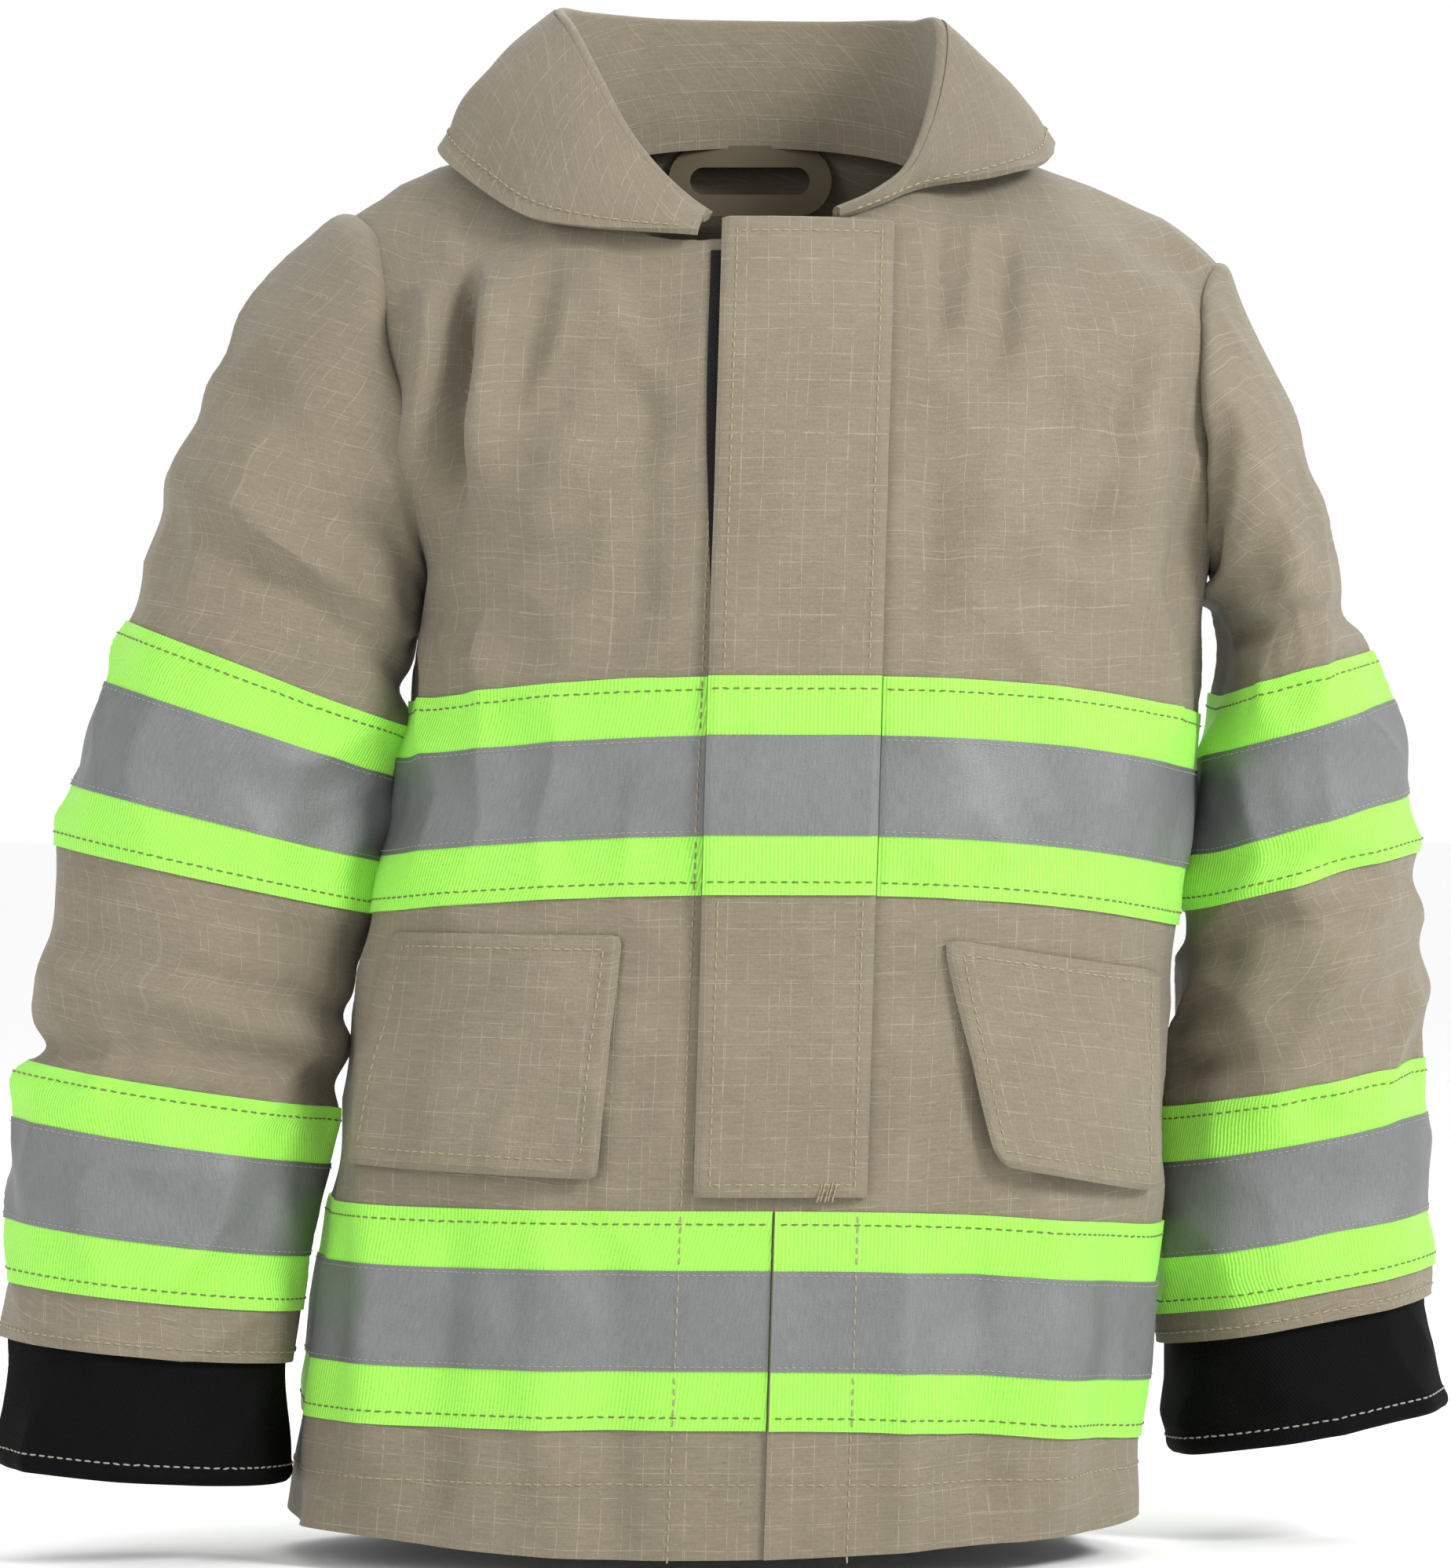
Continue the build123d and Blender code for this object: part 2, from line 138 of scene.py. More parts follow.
# ---- numbers along a form ----
def smooth(x, xs, ys):
    """Hermite interpolation of ys at x."""
    x = np.clip(x, xs[0], xs[-1])
    slope = np.gradient(ys, xs)
    i = np.clip(np.searchsorted(xs, x) - 1, 0, len(xs) - 2)
    h = xs[i + 1] - xs[i]
    t = (x - xs[i]) / h
    return (
        (1 + 2 * t) * (1 - t) ** 2 * ys[i]
        + t * (1 - t) ** 2 * h * slope[i]
        + t * t * (3 - 2 * t) * ys[i + 1]
        + t * t * (t - 1) * h * slope[i + 1]
    )


def unit(v):
    """v made one long, along its last axis."""
    return v / np.maximum(np.linalg.norm(v, axis=-1, keepdims=True), 1e-9)


def lengths(points):
    """Distance along a polyline at each of its points."""
    steps = np.linalg.norm(np.diff(points, axis=0), axis=1)
    return np.concatenate([[0], np.cumsum(steps)])


def ramp(x, low, high):
    t = np.clip((x - low) / (high - low), 0, 1)
    return t * t * (3 - 2 * t)


def waves(p, size, seed, count=22):
    """A smooth random field with folds about size apart, seeded."""
    rng = np.random.default_rng(seed)
    k = rng.normal(size=(count, 3))
    k *= (2 * pi / size * rng.uniform(0.6, 1.5, count) / np.linalg.norm(k, axis=1))[:, None]
    phase = rng.uniform(0, 2 * pi, count)
    total = np.zeros(p.shape[:-1])
    for direction, start in zip(k, phase):
        total += np.cos(p @ direction + start)
    return total * (2 / count) ** 0.5


def crumple(p, seed):
    """Creased noise: sharp ridges with soft hollows, from about -1 to 1."""
    folded = 1 - 1.6 * np.abs(waves(p, 62, seed))
    return np.clip(folded, -1.2, 1) * 0.55 + waves(p, 120, seed + 1) * 0.5


def along(p, x0, z0, x1, z1):
    """Distance across and share along a line drawn on the coat's front."""
    ax, az = x1 - x0, z1 - z0
    length = hypot(ax, az)
    dx, dz = p[..., 0] - x0, p[..., 2] - z0
    return (dx * az - dz * ax) / length, (dx * ax + dz * az) / length**2


# ---- folds ----
# On the front: start X and Z, end X and Z, half width, height (negative for a hollow).
FRONT_FOLDS = [
    (-92, 458, -97, 368, 5, -8.5), (-103, 452, -107, 380, 7, 5.0), (-80, 450, -86, 378, 8, 5.0),
    (-60, 466, -78, 400, 7, -2.2), (-40, 452, -66, 350, 10, 2.0), (-28, 420, -30, 330, 7, -1.6),
    (160, 455, 140, 360, 9, 3.5), (150, 440, 118, 340, 7, -2.4), (166, 400, 163, 330, 6, -3.0),
    (100, 470, 96, 420, 4, -2.4), (88, 474, 84, 430, 3.5, 2.2), (76, 474, 75, 428, 3.5, -2.4),
    (110, 450, 84, 340, 11, 2.0), (70, 400, 68, 300, 8, -1.6), (-110, 330, -60, 300, 8, 1.8),
    (-125, 230, -122, 20, 8, 3.0), (-96, 130, -104, 10, 9, -2.6), (-64, 135, -62, 5, 10, 3.0),
    (-40, 120, -38, 5, 8, -2.2), (88, 130, 92, 5, 9, -2.8), (112, 140, 118, 10, 9, 3.0),
    (62, 120, 62, 5, 7, 2.2), (140, 130, 136, 10, 8, -2.4), (-132, 120, -138, 20, 7, -2.6),
    (60, 232, 110, 246, 5, -1.2), (-100, 230, -50, 238, 5, 1.2),
]


def body_folds(p):
    """How far the body's cloth stands off its form."""
    front = ramp(-p[..., 1], 5, 45)
    total = 2.5 * crumple(p, 3) * (0.35 + 0.65 * ramp(p[..., 2], 40, 330))
    total += 2.2 * waves(p * np.array([1.0, 1.0, 0.25]), 78, 11) * ramp(200 - p[..., 2], 0, 190)
    total += 1.2 * waves(p, 34, 17) * 0.35
    for x0, z0, x1, z1, width, height in FRONT_FOLDS:
        across, share = along(p, x0, z0, x1, z1)
        ends = ramp(share, -0.12, 0.2) * ramp(1 - share, -0.12, 0.25)
        total += 1.45 * front * height * ends * np.exp(-((across / width) ** 2))
    # The closed front is doubled cloth, so it lies flatter.
    leaning = p[..., 0] - LEAN * p[..., 2]
    centre = front * ramp(leaning, -40, -16) * ramp(-leaning, -62, -44)
    # Below the storm flap, the left front's edge laps over the right.
    past = leaning - FRONT_X
    lapped = front * (past > 0) * ramp(FLAP_BOTTOM - 3 - p[..., 2], 0, 9)
    lapped = lapped * 1.7 * np.exp(-((np.maximum(past, 0) / 8) ** 2))
    collar = ramp(p[..., 2], 455, 480)
    return total * (1 - 0.72 * centre) * (1 - 0.5 * collar) + lapped


def body_form(t, z):
    cx, cy, half_w, half_d, square = (smooth(z, BODY[:, 0], BODY[:, k]) for k in range(1, 6))
    c, s = np.cos(t), np.sin(t)
    x = cx + half_w * np.sign(c) * np.abs(c) ** (2 / square)
    y = cy + half_d * np.sign(s) * np.abs(s) ** (2 / square)
    return np.stack([x, y, z], -1)


def normals_of(form, a, b, da, db):
    """Outward unit normals of a form by differences."""
    across = form(a + da, b) - form(a - da, b)
    up = form(a, b + db) - form(a, b - db)
    return unit(np.cross(across, up))


def body_cloth(t, z, lift=0.0):
    """Points of the body's cloth, lifted by lift from the shell's outer face."""
    z = np.clip(z, 0.4, 511.5)
    base = body_form(t, z)
    n = normals_of(body_form, t, z, 0.01, 0.4)
    return base + n * (body_folds(base) + lift)[..., None]


def front_angle(x, z):
    """The angle at which the front of the form passes x."""
    cx, half_w, square = (smooth(z, BODY[:, 0], BODY[:, k]) for k in (1, 3, 5))
    share = np.clip((x - cx) / half_w, -1, 1)
    c = np.sign(share) * np.abs(share) ** (square / 2)
    return -np.arccos(np.clip(c, -1, 1))


def front_cloth(x, z, lift=0.0):
    return body_cloth(front_angle(x, z), z, lift)


def leaning_grid(x0, x1, z0, z1, columns, rows):
    """X and Z over a strip of the front that leans as the opening does."""
    z = np.repeat(np.linspace(z0, z1, rows)[:, None], columns, 1)
    return np.linspace(x0, x1, columns)[None, :] + LEAN * z, z


def sleeve_folds(side, t, s, marks):
    """Creases round a sleeve: t is the angle, s the distance down it."""
    seed = 31 if side == "right" else 57
    around = np.stack([52 * np.cos(t), 52 * np.sin(t), s], -1)
    total = 2.5 * crumple(around, seed) + 0.5 * waves(around, 30, seed + 5)
    elbow = marks[ELBOW]
    rng = np.random.default_rng(seed)
    for k in range(13):
        middle = elbow + rng.uniform(-46, 44) if k < 8 else rng.uniform(20, 120)
        facing = rng.uniform(0, 2 * pi)
        slope = rng.uniform(-16, 16)
        width = rng.uniform(5, 9)
        height = rng.uniform(1.8, 4.2) * (1 if k % 2 else -1.2)
        line = s - middle - slope * np.sin(t - facing)
        mask = np.clip(0.5 + 0.8 * np.cos(t - facing), 0, 1) ** 1.5
        total += height * mask * np.exp(-((line / width) ** 2))
    quiet = 1 - 0.45 * ramp(s, marks[CUFF_TOP] - 30, marks[CUFF_TOP])
    return total * quiet


def make_sleeve_form(rings, marks):
    def form(t, s):
        cx, cy, cz, half_w, half_d, lean = (smooth(s, marks, rings[:, k]) for k in range(6))
        lean = np.radians(lean)
        a, b = np.cos(t) * half_w, np.sin(t) * half_d
        return np.stack([cx + a * np.cos(lean), cy + b, cz - a * np.sin(lean)], -1)

    return form


def inside_body(p):
    cx, cy, half_w, half_d, square = (smooth(p[..., 2], BODY[:, 0], BODY[:, k]) for k in range(1, 6))
    across = np.abs((p[..., 0] - cx) / half_w) ** square + np.abs((p[..., 1] - cy) / half_d) ** square
    return (across < 1) & (p[..., 2] < BODY[-1, 0])


SEAM_REACH = 62.0  # the sleeve takes its own shape this far below the armhole seam
SEAM_TURNS = np.linspace(0, 2 * pi, 361)


def armhole_seam(rings, side):
    """The seam's points round the armhole: an oval slid sideways until it lies on the body."""
    x, y, z, half_w, half_d, lean = rings[0]
    inward = 1.0 if side == "right" else -1.0
    a, b = np.cos(SEAM_TURNS) * half_w, np.sin(SEAM_TURNS) * half_d * 0.86
    start = np.stack([x + a * cos(radians(lean)), y + b, z - a * sin(radians(lean))], -1)
    slide = np.linspace(-14, 120, 500)
    tries = start[:, None, :] + slide[None, :, None] * np.array([inward, 0.0, 0.0])
    found = inside_body(tries).argmax(1)
    return tries[np.arange(len(start)), found]


def make_sleeve_cloth(side):
    rings = SLEEVES[side]
    marks = lengths(rings[:, :3])
    plain = make_sleeve_form(rings, marks)
    seam = armhole_seam(rings, side)

    def at_seam(t):
        turn = np.mod(t, 2 * pi)
        return np.stack([np.interp(turn, SEAM_TURNS, seam[:, k]) for k in range(3)], -1)

    def share_at(s):
        return 1 - (1 - np.clip(s / SEAM_REACH, 0, 1)) ** 2

    def form(t, s):
        share = share_at(s)[..., None]
        return at_seam(t) * (1 - share) + plain(t, s) * share

    def cloth(t, s, lift=0.0):
        share = share_at(s)
        folds = sleeve_folds(side, t, s, marks) * share + body_folds(at_seam(t)) * (1 - share)
        # The seam allowance makes a soft ridge below the armhole seam.
        folds += 2.0 * np.exp(-(((s - 8) / 7.0) ** 2)) - 1.2 * np.exp(-((s / 2.0) ** 2))
        n = normals_of(form, t, s, 0.01, 0.4) * outward
        return form(t, s) + n * (folds + lift)[..., None]

    start, elbow = np.array([0.0]), np.array([marks[ELBOW]])
    away = form(start, elbow)[0] - rings[ELBOW, :3]
    outward = 1.0 if away @ normals_of(form, start, elbow, 0.01, 0.4)[0] > 0 else -1.0
    return cloth, marks


# ---- materials ----
class Nodes:
    """Short names for the shader nodes used here."""

    def __init__(self, name):
        self.material = bpy.data.materials.new(name)
        self.material.use_nodes = True
        self.tree = self.material.node_tree
        self.shader = self.tree.nodes["Principled BSDF"]

    def link(self, value, socket):
        if isinstance(value, bpy.types.NodeSocket):
            self.tree.links.new(value, socket)
        else:
            socket.default_value = value

    def math(self, operation, a, b=0.0, c=0.0):
        node = self.tree.nodes.new("ShaderNodeMath")
        node.operation = operation
        for value, socket in zip((a, b, c), node.inputs):
            self.link(value, socket)
        return node.outputs[0]

    def wave(self, value, pitch):
        return self.math("SINE", self.math("MULTIPLY", value, 2 * pi / pitch))

    def uv(self):
        source = self.tree.nodes.new("ShaderNodeUVMap")
        source.uv_map = "cloth"
        split = self.tree.nodes.new("ShaderNodeSeparateXYZ")
        self.tree.links.new(source.outputs[0], split.inputs[0])
        return split.outputs[0], split.outputs[1], source.outputs[0]

    def noise(self, vector, scale, detail=3.0, rough=0.55):
        node = self.tree.nodes.new("ShaderNodeTexNoise")
        node.inputs["Scale"].default_value = scale
        node.inputs["Detail"].default_value = detail
        node.inputs["Roughness"].default_value = rough
        self.link(vector, node.inputs["Vector"])
        return node.outputs["Fac"]

    def scaled(self, vector, sizes):
        node = self.tree.nodes.new("ShaderNodeMapping")
        node.inputs["Scale"].default_value = sizes
        self.tree.links.new(vector, node.inputs[0])
        return node.outputs[0]

    def position(self):
        return self.tree.nodes.new("ShaderNodeTexCoord").outputs["Object"]

    def mix(self, share, a, b):
        node = self.tree.nodes.new("ShaderNodeMix")
        node.data_type = "RGBA"
        self.link(share, node.inputs[0])
        for colour, socket in ((a, node.inputs[6]), (b, node.inputs[7])):
            self.link((*colour, 1) if isinstance(colour, tuple) else colour, socket)
        return node.outputs[2]

    def line(self, value, pitch, share):
        """1 on thin lines pitch apart, 0 between them."""
        place = self.math("FRACT", self.math("DIVIDE", value, pitch))
        away = self.math("ABSOLUTE", self.math("SUBTRACT", place, 0.5))
        node = self.tree.nodes.new("ShaderNodeMapRange")
        node.interpolation_type = "SMOOTHSTEP"
        self.link(away, node.inputs[0])
        node.inputs[1].default_value = share
        node.inputs[2].default_value = share * 0.4
        return node.outputs[0]

    def bumps(self, height, strength, distance):
        node = self.tree.nodes.new("ShaderNodeBump")
        node.inputs["Strength"].default_value = strength
        node.inputs["Distance"].default_value = distance
        self.link(height, node.inputs["Height"])
        self.tree.links.new(node.outputs[0], self.shader.inputs["Normal"])

    def finish(self, colour, rough, sheen=0.0, metallic=0.0):
        looks = {"Base Color": colour, "Roughness": rough, "Sheen Weight": sheen, "Metallic": metallic}
        for name, value in looks.items():
            self.link(value, self.shader.inputs[name])
        self.shader.inputs["Sheen Roughness"].default_value = 0.5
        return self.material


def ripstop(name, base, pale, dark):
    n = Nodes(name)
    u, v, uv = n.uv()
    drift = n.math("MULTIPLY", n.noise(n.position(), 14.0, 1.0), 0.0035)
    lines_u = n.math("MAXIMUM", n.line(n.math("ADD", u, drift), 0.0075, 0.032), n.line(u, 0.0187, 0.011))
    lines_v = n.math("MAXIMUM", n.line(n.math("ADD", v, drift), 0.0091, 0.03), n.line(v, 0.0213, 0.010))
    grid = n.math("MAXIMUM", lines_u, lines_v)
    weave_u = n.wave(u, 0.0007)
    weave_v = n.wave(v, 0.0006)
    weave = n.math("MULTIPLY", weave_u, weave_v)
    broad = n.noise(n.position(), 22.0, 4.0)
    fine = n.noise(uv, 900.0, 2.0)
    yarns = n.noise(n.scaled(uv, (0.08, 1.0, 1.0)), 1300.0, 2.0, 0.6)
    shade = n.math("MULTIPLY_ADD", broad, 0.35, n.math("MULTIPLY", fine, 0.45))
    shade = n.math("MULTIPLY_ADD", yarns, 0.5, shade)
    shade = n.math("MULTIPLY_ADD", shade, 1.9, -0.75)
    cloth = n.mix(shade, dark, base)
    worn = n.math("MULTIPLY_ADD", n.noise(uv, 110.0, 3.0, 0.75), 4.2, -1.85)
    worn = n.math("MINIMUM", n.math("MAXIMUM", worn, 0.1), 0.36)
    colour = n.mix(n.math("MULTIPLY", grid, worn), cloth, pale)
    creases = n.noise(n.position(), 75.0, 5.0, 0.62)
    height = n.math("MULTIPLY_ADD", weave, 0.06, n.math("MULTIPLY_ADD", grid, 0.14, creases))
    n.bumps(height, 0.6, 0.0016)
    return n.finish(colour, n.math("MULTIPLY_ADD", fine, 0.16, 0.66), 0.12)


def grosgrain(name, base, dark):
    n = Nodes(name)
    u, v, uv = n.uv()
    rib = n.wave(u, 0.0014)
    yarn = n.wave(v, 0.0005)
    fine = n.noise(uv, 700.0, 3.0)
    share = n.math("MULTIPLY_ADD", rib, 0.3, n.math("MULTIPLY_ADD", fine, 0.6, 0.3))
    height = n.math("MULTIPLY_ADD", yarn, 0.1, n.math("MULTIPLY_ADD", rib, 0.5, fine))
    n.bumps(height, 0.45, 0.0006)
    # Painted glow: the lime tape emits its own colour, so it looks lit though it is no lamp.
    n.shader.inputs["Emission Color"].default_value = (*base, 1)
    n.shader.inputs["Emission Strength"].default_value = 0.22
    return n.finish(n.mix(share, dark, base), 0.62, 0.1)


def reflective(name, base, dark):
    n = Nodes(name)
    uv = n.uv()[2]
    fine = n.noise(uv, 1500.0, 2.0)
    glints = n.noise(n.scaled(uv, (1.0, 0.12, 1.0)), 1500.0, 2.0, 0.6)
    broad = n.noise(n.position(), 30.0, 3.0)
    share = n.math("MULTIPLY_ADD", fine, 0.45, n.math("MULTIPLY", broad, 0.35))
    share = n.math("MULTIPLY_ADD", glints, 0.5, share)
    n.bumps(n.math("ADD", fine, n.math("MULTIPLY", glints, 0.6)), 0.35, 0.0005)
    rough = n.math("MULTIPLY_ADD", fine, 0.25, 0.42)
    return n.finish(n.mix(n.math("SUBTRACT", share, 0.2), dark, base), rough, 0.0, 0.2)


def plain_cloth(name, base, dark, pitch, sheen=0.0):
    n = Nodes(name)
    n.shader.inputs["Specular IOR Level"].default_value = 0.06
    u, v, uv = n.uv()
    warp = n.wave(u, pitch * MM)
    weft = n.wave(v, pitch * MM)
    fine = n.noise(uv, 800.0, 3.0)
    broad = n.noise(n.position(), 40.0, 3.0)
    height = n.math("MULTIPLY_ADD", n.math("MULTIPLY", warp, weft), 0.5, fine)
    share = n.math("MULTIPLY_ADD", fine, 0.6, n.math("MULTIPLY", broad, 0.4))
    n.bumps(height, 0.5, 0.0007)
    return n.finish(n.mix(share, dark, base), 0.8, sheen)


def thread(name, base, dark):
    n = Nodes(name)
    fine = n.noise(n.position(), 1500.0, 2.0)
    n.bumps(fine, 0.4, 0.0003)
    return n.finish(n.mix(fine, dark, base), 0.6, 0.2)


BLACK = (0.004, 0.004, 0.005)
KHAKI = ripstop("khaki_ripstop", (0.208, 0.175, 0.120), (0.36, 0.32, 0.245), (0.122, 0.101, 0.066))
WEBBING_BASE, WEBBING_DARK = (0.15, 0.125, 0.085), (0.07, 0.057, 0.037)
CUFF_BASE, CUFF_DARK = (0.0042, 0.0042, 0.0042), (0.0016, 0.0016, 0.0016)
MATERIALS = {
    "khaki_shell": KHAKI,
    "lime_trim": grosgrain("lime_grosgrain", (0.27, 0.66, 0.062), (0.12, 0.38, 0.02)),
    "reflective_silver": reflective("silver_reflective", (0.215, 0.222, 0.222), (0.060, 0.063, 0.064)),
    "lining_black": plain_cloth("black_lining", (0.018, 0.018, 0.020), (0.006, 0.006, 0.007), 1.2),
    "hook_and_loop": plain_cloth("hook_and_loop_pile", (0.02, 0.02, 0.022), BLACK, 1.6, 0.08),
    "cuff_black": plain_cloth("black_cuff_cloth", CUFF_BASE, CUFF_DARK, 1.5),
    "thread_tan": thread("thread_tan", (0.34, 0.275, 0.165), (0.17, 0.125, 0.065)),
    "thread_olive": thread("thread_olive", (0.13, 0.14, 0.03), (0.07, 0.08, 0.015)),
    "thread_pale": thread("thread_pale", (0.30, 0.28, 0.24), (0.16, 0.15, 0.125)),
    "loop_webbing": plain_cloth("loop_webbing", WEBBING_BASE, WEBBING_DARK, 1.2),
}


# ---- meshes ----
def make_object(name, verts, faces, uvs, slots):
    mesh = bpy.data.meshes.new(name)
    mesh.from_pydata((np.asarray(verts) * MM).tolist(), [], faces)
    if uvs is not None:
        layer = mesh.uv_layers.new(name="cloth")
        index = np.zeros(len(mesh.loops), np.int32)
        mesh.loops.foreach_get("vertex_index", index)
        layer.data.foreach_set("uv", (np.asarray(uvs)[index] * MM).astype(np.float32).ravel())
    for slot in slots:
        mesh.materials.append(MATERIALS[slot])
    obj = bpy.data.objects.new(name, mesh)
    bpy.context.scene.collection.objects.link(obj)
    return obj


def grid_faces(rows, columns):
    corners = (r * columns + c for r in range(rows - 1) for c in range(columns - 1))
    return [(k, k + 1, k + columns + 1, k + columns) for k in corners]


def arc_uv(points, flip_u=False, flip_v=False):
    """Distances along the rows and up the columns of a grid of points."""
    du = np.linalg.norm(np.diff(points, axis=1), axis=2)
    dv = np.linalg.norm(np.diff(points, axis=0), axis=2)
    u = np.concatenate([np.zeros((len(points), 1)), np.cumsum(du, 1)], 1)
    if flip_u:
        u = u - u[:, -1:]
    v = np.concatenate([np.zeros((1, points.shape[1])), np.cumsum(dv, 0)], 0)
    if flip_v:
        v = v - v[-1:]
    return np.stack([u, v], -1)


def applied(obj, thick, sharp=40.0):
    """Give a sheet its thickness, inwards, with its second material inside."""
    solid = obj.modifiers.new("thick", "SOLIDIFY")
    solid.thickness = thick * MM
    solid.offset = -1.0
    solid.use_quality_normals = True
    solid.material_offset = 1 if len(obj.data.materials) > 1 else 0
    deps = bpy.context.evaluated_depsgraph_get()
    mesh = bpy.data.meshes.new_from_object(obj.evaluated_get(deps))
    old = obj.data
    obj.modifiers.clear()
    obj.data = mesh
    bpy.data.meshes.remove(old)
    mesh.name = obj.name
    mesh.shade_smooth()
    mesh.set_sharp_from_angle(angle=radians(sharp))
    return obj


def body_outward(p):
    return p - np.array([10.0, 0.0, p[2]])


def sheet_object(name, points, thick, slots, outward=body_outward, flip_u=False, flip_v=False, cut=None):
    """A cloth piece from a grid of points, its face outwards."""
    uv = arc_uv(points, flip_u, flip_v)
    rows, columns = points.shape[:2]
    faces = grid_faces(rows, columns)
    flat = points.reshape(-1, 3)
    r, c = rows // 2, columns // 2
    side = np.cross(points[r, c] - points[r, c - 1], points[r, c] - points[r - 1, c])
    if side @ outward(points[r, c]) < 0:
        faces = [face[::-1] for face in faces]
    obj = make_object(name, flat, faces, uv.reshape(-1, 2), slots)
    if cut:
        cut(obj)
    return applied(obj, thick)


# ---- body: back and the two fronts ----
def neck_height(t):
    """Where the cloth at angle t meets the neck seam."""
    x0, y0, z0, half_w, half_l, tilt = NECK
    z = np.linspace(440, 511.5, 220)
    grid_t, grid_z = np.meshgrid(t, z, indexing="ij")
    p = body_form(grid_t, grid_z)
    tilt = radians(tilt)
    dy, dz = p[..., 1] - y0, p[..., 2] - z0
    up = -dy * sin(tilt) + dz * cos(tilt)
    across = dy * cos(tilt) + dz * sin(tilt)
    inside = (((p[..., 0] - x0) / half_w) ** 2 + (across / half_l) ** 2 < 1) & (up > -16)
    first = np.where(inside.any(1), inside.argmax(1), len(z) - 1)
    return z[first]


def even_rows(t0, t1, top, rows):
    """Heights from the hem to top, evenly spaced along the cloth halfway between two angles."""
    z = np.linspace(0, top, 300)
    middle = body_form((t0(z) + t1(z)) / 2, z)
    run = lengths(middle)
    return np.interp(np.linspace(0, run[-1], rows), run, z)


def armhole_cut(obj):
    """Trim a body piece at both armhole planes, above the armpits."""
    bm = bmesh.new()
    bm.from_mesh(obj.data)
    for rings, sign in ((SLEEVES["right"], -1), (SLEEVES["left"], 1)):
        x, _, z, half, _, lean = rings[0]
        lean = radians(lean)
        low = (z - half * abs(sin(lean)) - 1) * MM
        geom = set()
        for face in bm.faces:
            centre = face.calc_center_median()
            if centre.z > low and centre.x * sign > 0:
                geom.update((face, *face.verts, *face.edges))
        outside = (-sin(lean), 0, -cos(lean))
        bmesh.ops.bisect_plane(
            bm, geom=list(geom), plane_co=(x * MM, 0, z * MM), plane_no=outside, clear_outer=True
        )
    bm.to_mesh(obj.data)
    bm.free()


def panel_points(t0, t1, rows, columns):
    """Grid from the hem up to the neck seam between two angle functions of height."""
    share = np.linspace(0, 1, columns)
    top_t = t0(np.array([500.0])) * (1 - share) + t1(np.array([500.0])) * share
    tops = neck_height(top_t)
    z_even = even_rows(t0, t1, tops.max(), rows) / tops.max()
    turn = t0(np.array([0.0])) * (1 - share) + t1(np.array([0.0])) * share
    hem = 5.5 + 7.5 * np.cos(turn) ** 2 + 0.9 * np.sin(turn * 5 + 0.7)
    z = hem + z_even[:, None] * (tops - hem)[None, :]
    t = t0(z) * (1 - share)[None, :] + t1(z) * share[None, :]
    return body_cloth(t, z)


def constant(value):
    return lambda z: np.full_like(np.asarray(z, float), value)


def leaning_line(x):
    return lambda z: front_angle(x + LEAN * np.asarray(z, float), z)


SHELL_THICK = 2.7
FACING_LOW = 438.0


def neck_facing(obj):
    """The inside of the neck is faced with the shell's own cloth."""
    for face in obj.data.polygons:
        if face.material_index == 1 and face.center.z > FACING_LOW * MM:
            face.material_index = 0


LINED = ["khaki_shell", "lining_black"]
RIGHT_LINE, LEFT_LINE = leaning_line(FRONT_X - 0.06), leaning_line(FRONT_X + 0.06)
back_grid = panel_points(constant(0.0), constant(pi), 190, 150)
back = sheet_object("back", back_grid, SHELL_THICK, LINED, cut=armhole_cut)
right_grid = panel_points(constant(-pi), RIGHT_LINE, 190, 120)
right_front = sheet_object("right_front", right_grid, SHELL_THICK, LINED, flip_u=True, cut=armhole_cut)
left_grid = panel_points(LEFT_LINE, constant(0.0), 190, 110)
left_front = sheet_object("left_front", left_grid, SHELL_THICK, LINED, cut=armhole_cut)


# ---- bends: which bodies a piece follows ----
def leaning_bend(a, b, x0, x1):
    """A bend from body a, before the front's leaning line at x0, to body b, past the one at x1."""
    return a, b, (x0 * MM, -0.1, 0.0), (x1 * MM, -0.1, (x0 - x1) * LEAN * MM)


RIGHT_BEND = leaning_bend("coat_body", "right_front_edge", FOLD_RIGHT - 6, FOLD_RIGHT + 6)
LEFT_BEND = leaning_bend("coat_body", "left_front_edge", FOLD_LEFT + 6, FOLD_LEFT - 6)
FLAP_BEND = leaning_bend("left_front_edge", "storm_flap", FLAP_SEWN_X + 1.3, FLAP_SEWN_X - 0.7)


def follow(obj, where):
    """Ride on one body; for a bend between two, only bake the transform."""
    if isinstance(where, str):
        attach(obj, where)
    else:
        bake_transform(obj)


def give(obj, where, slot, *nodes):
    follow(obj, where)
    if nodes:
        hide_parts(*nodes)


for panel in (back, right_front, left_front):
    neck_facing(panel)
give(back, "coat_body", "khaki_shell", "back_panel", "back_lining")
RIGHT_NODES = ("right_front_panel", "right_front_lining", "right_front_edge")
give(right_front, RIGHT_BEND, "khaki_shell", *RIGHT_NODES)
LAP_LIFT, LAP_THICK = -2.9, 1.2
lap_grid = front_cloth(*leaning_grid(FRONT_X - 20, FRONT_X + 5, 6.0, 462.0, 8, 120), LAP_LIFT)
lap = sheet_object("right_front_lap", lap_grid, LAP_THICK, ["khaki_shell"])
give(lap, RIGHT_BEND, "khaki_shell", "right_front_facing")
LEFT_NODES = ("left_front_panel", "left_front_lining", "left_front_edge", "left_front_facing")
give(left_front, LEFT_BEND, "khaki_shell", *LEFT_NODES)


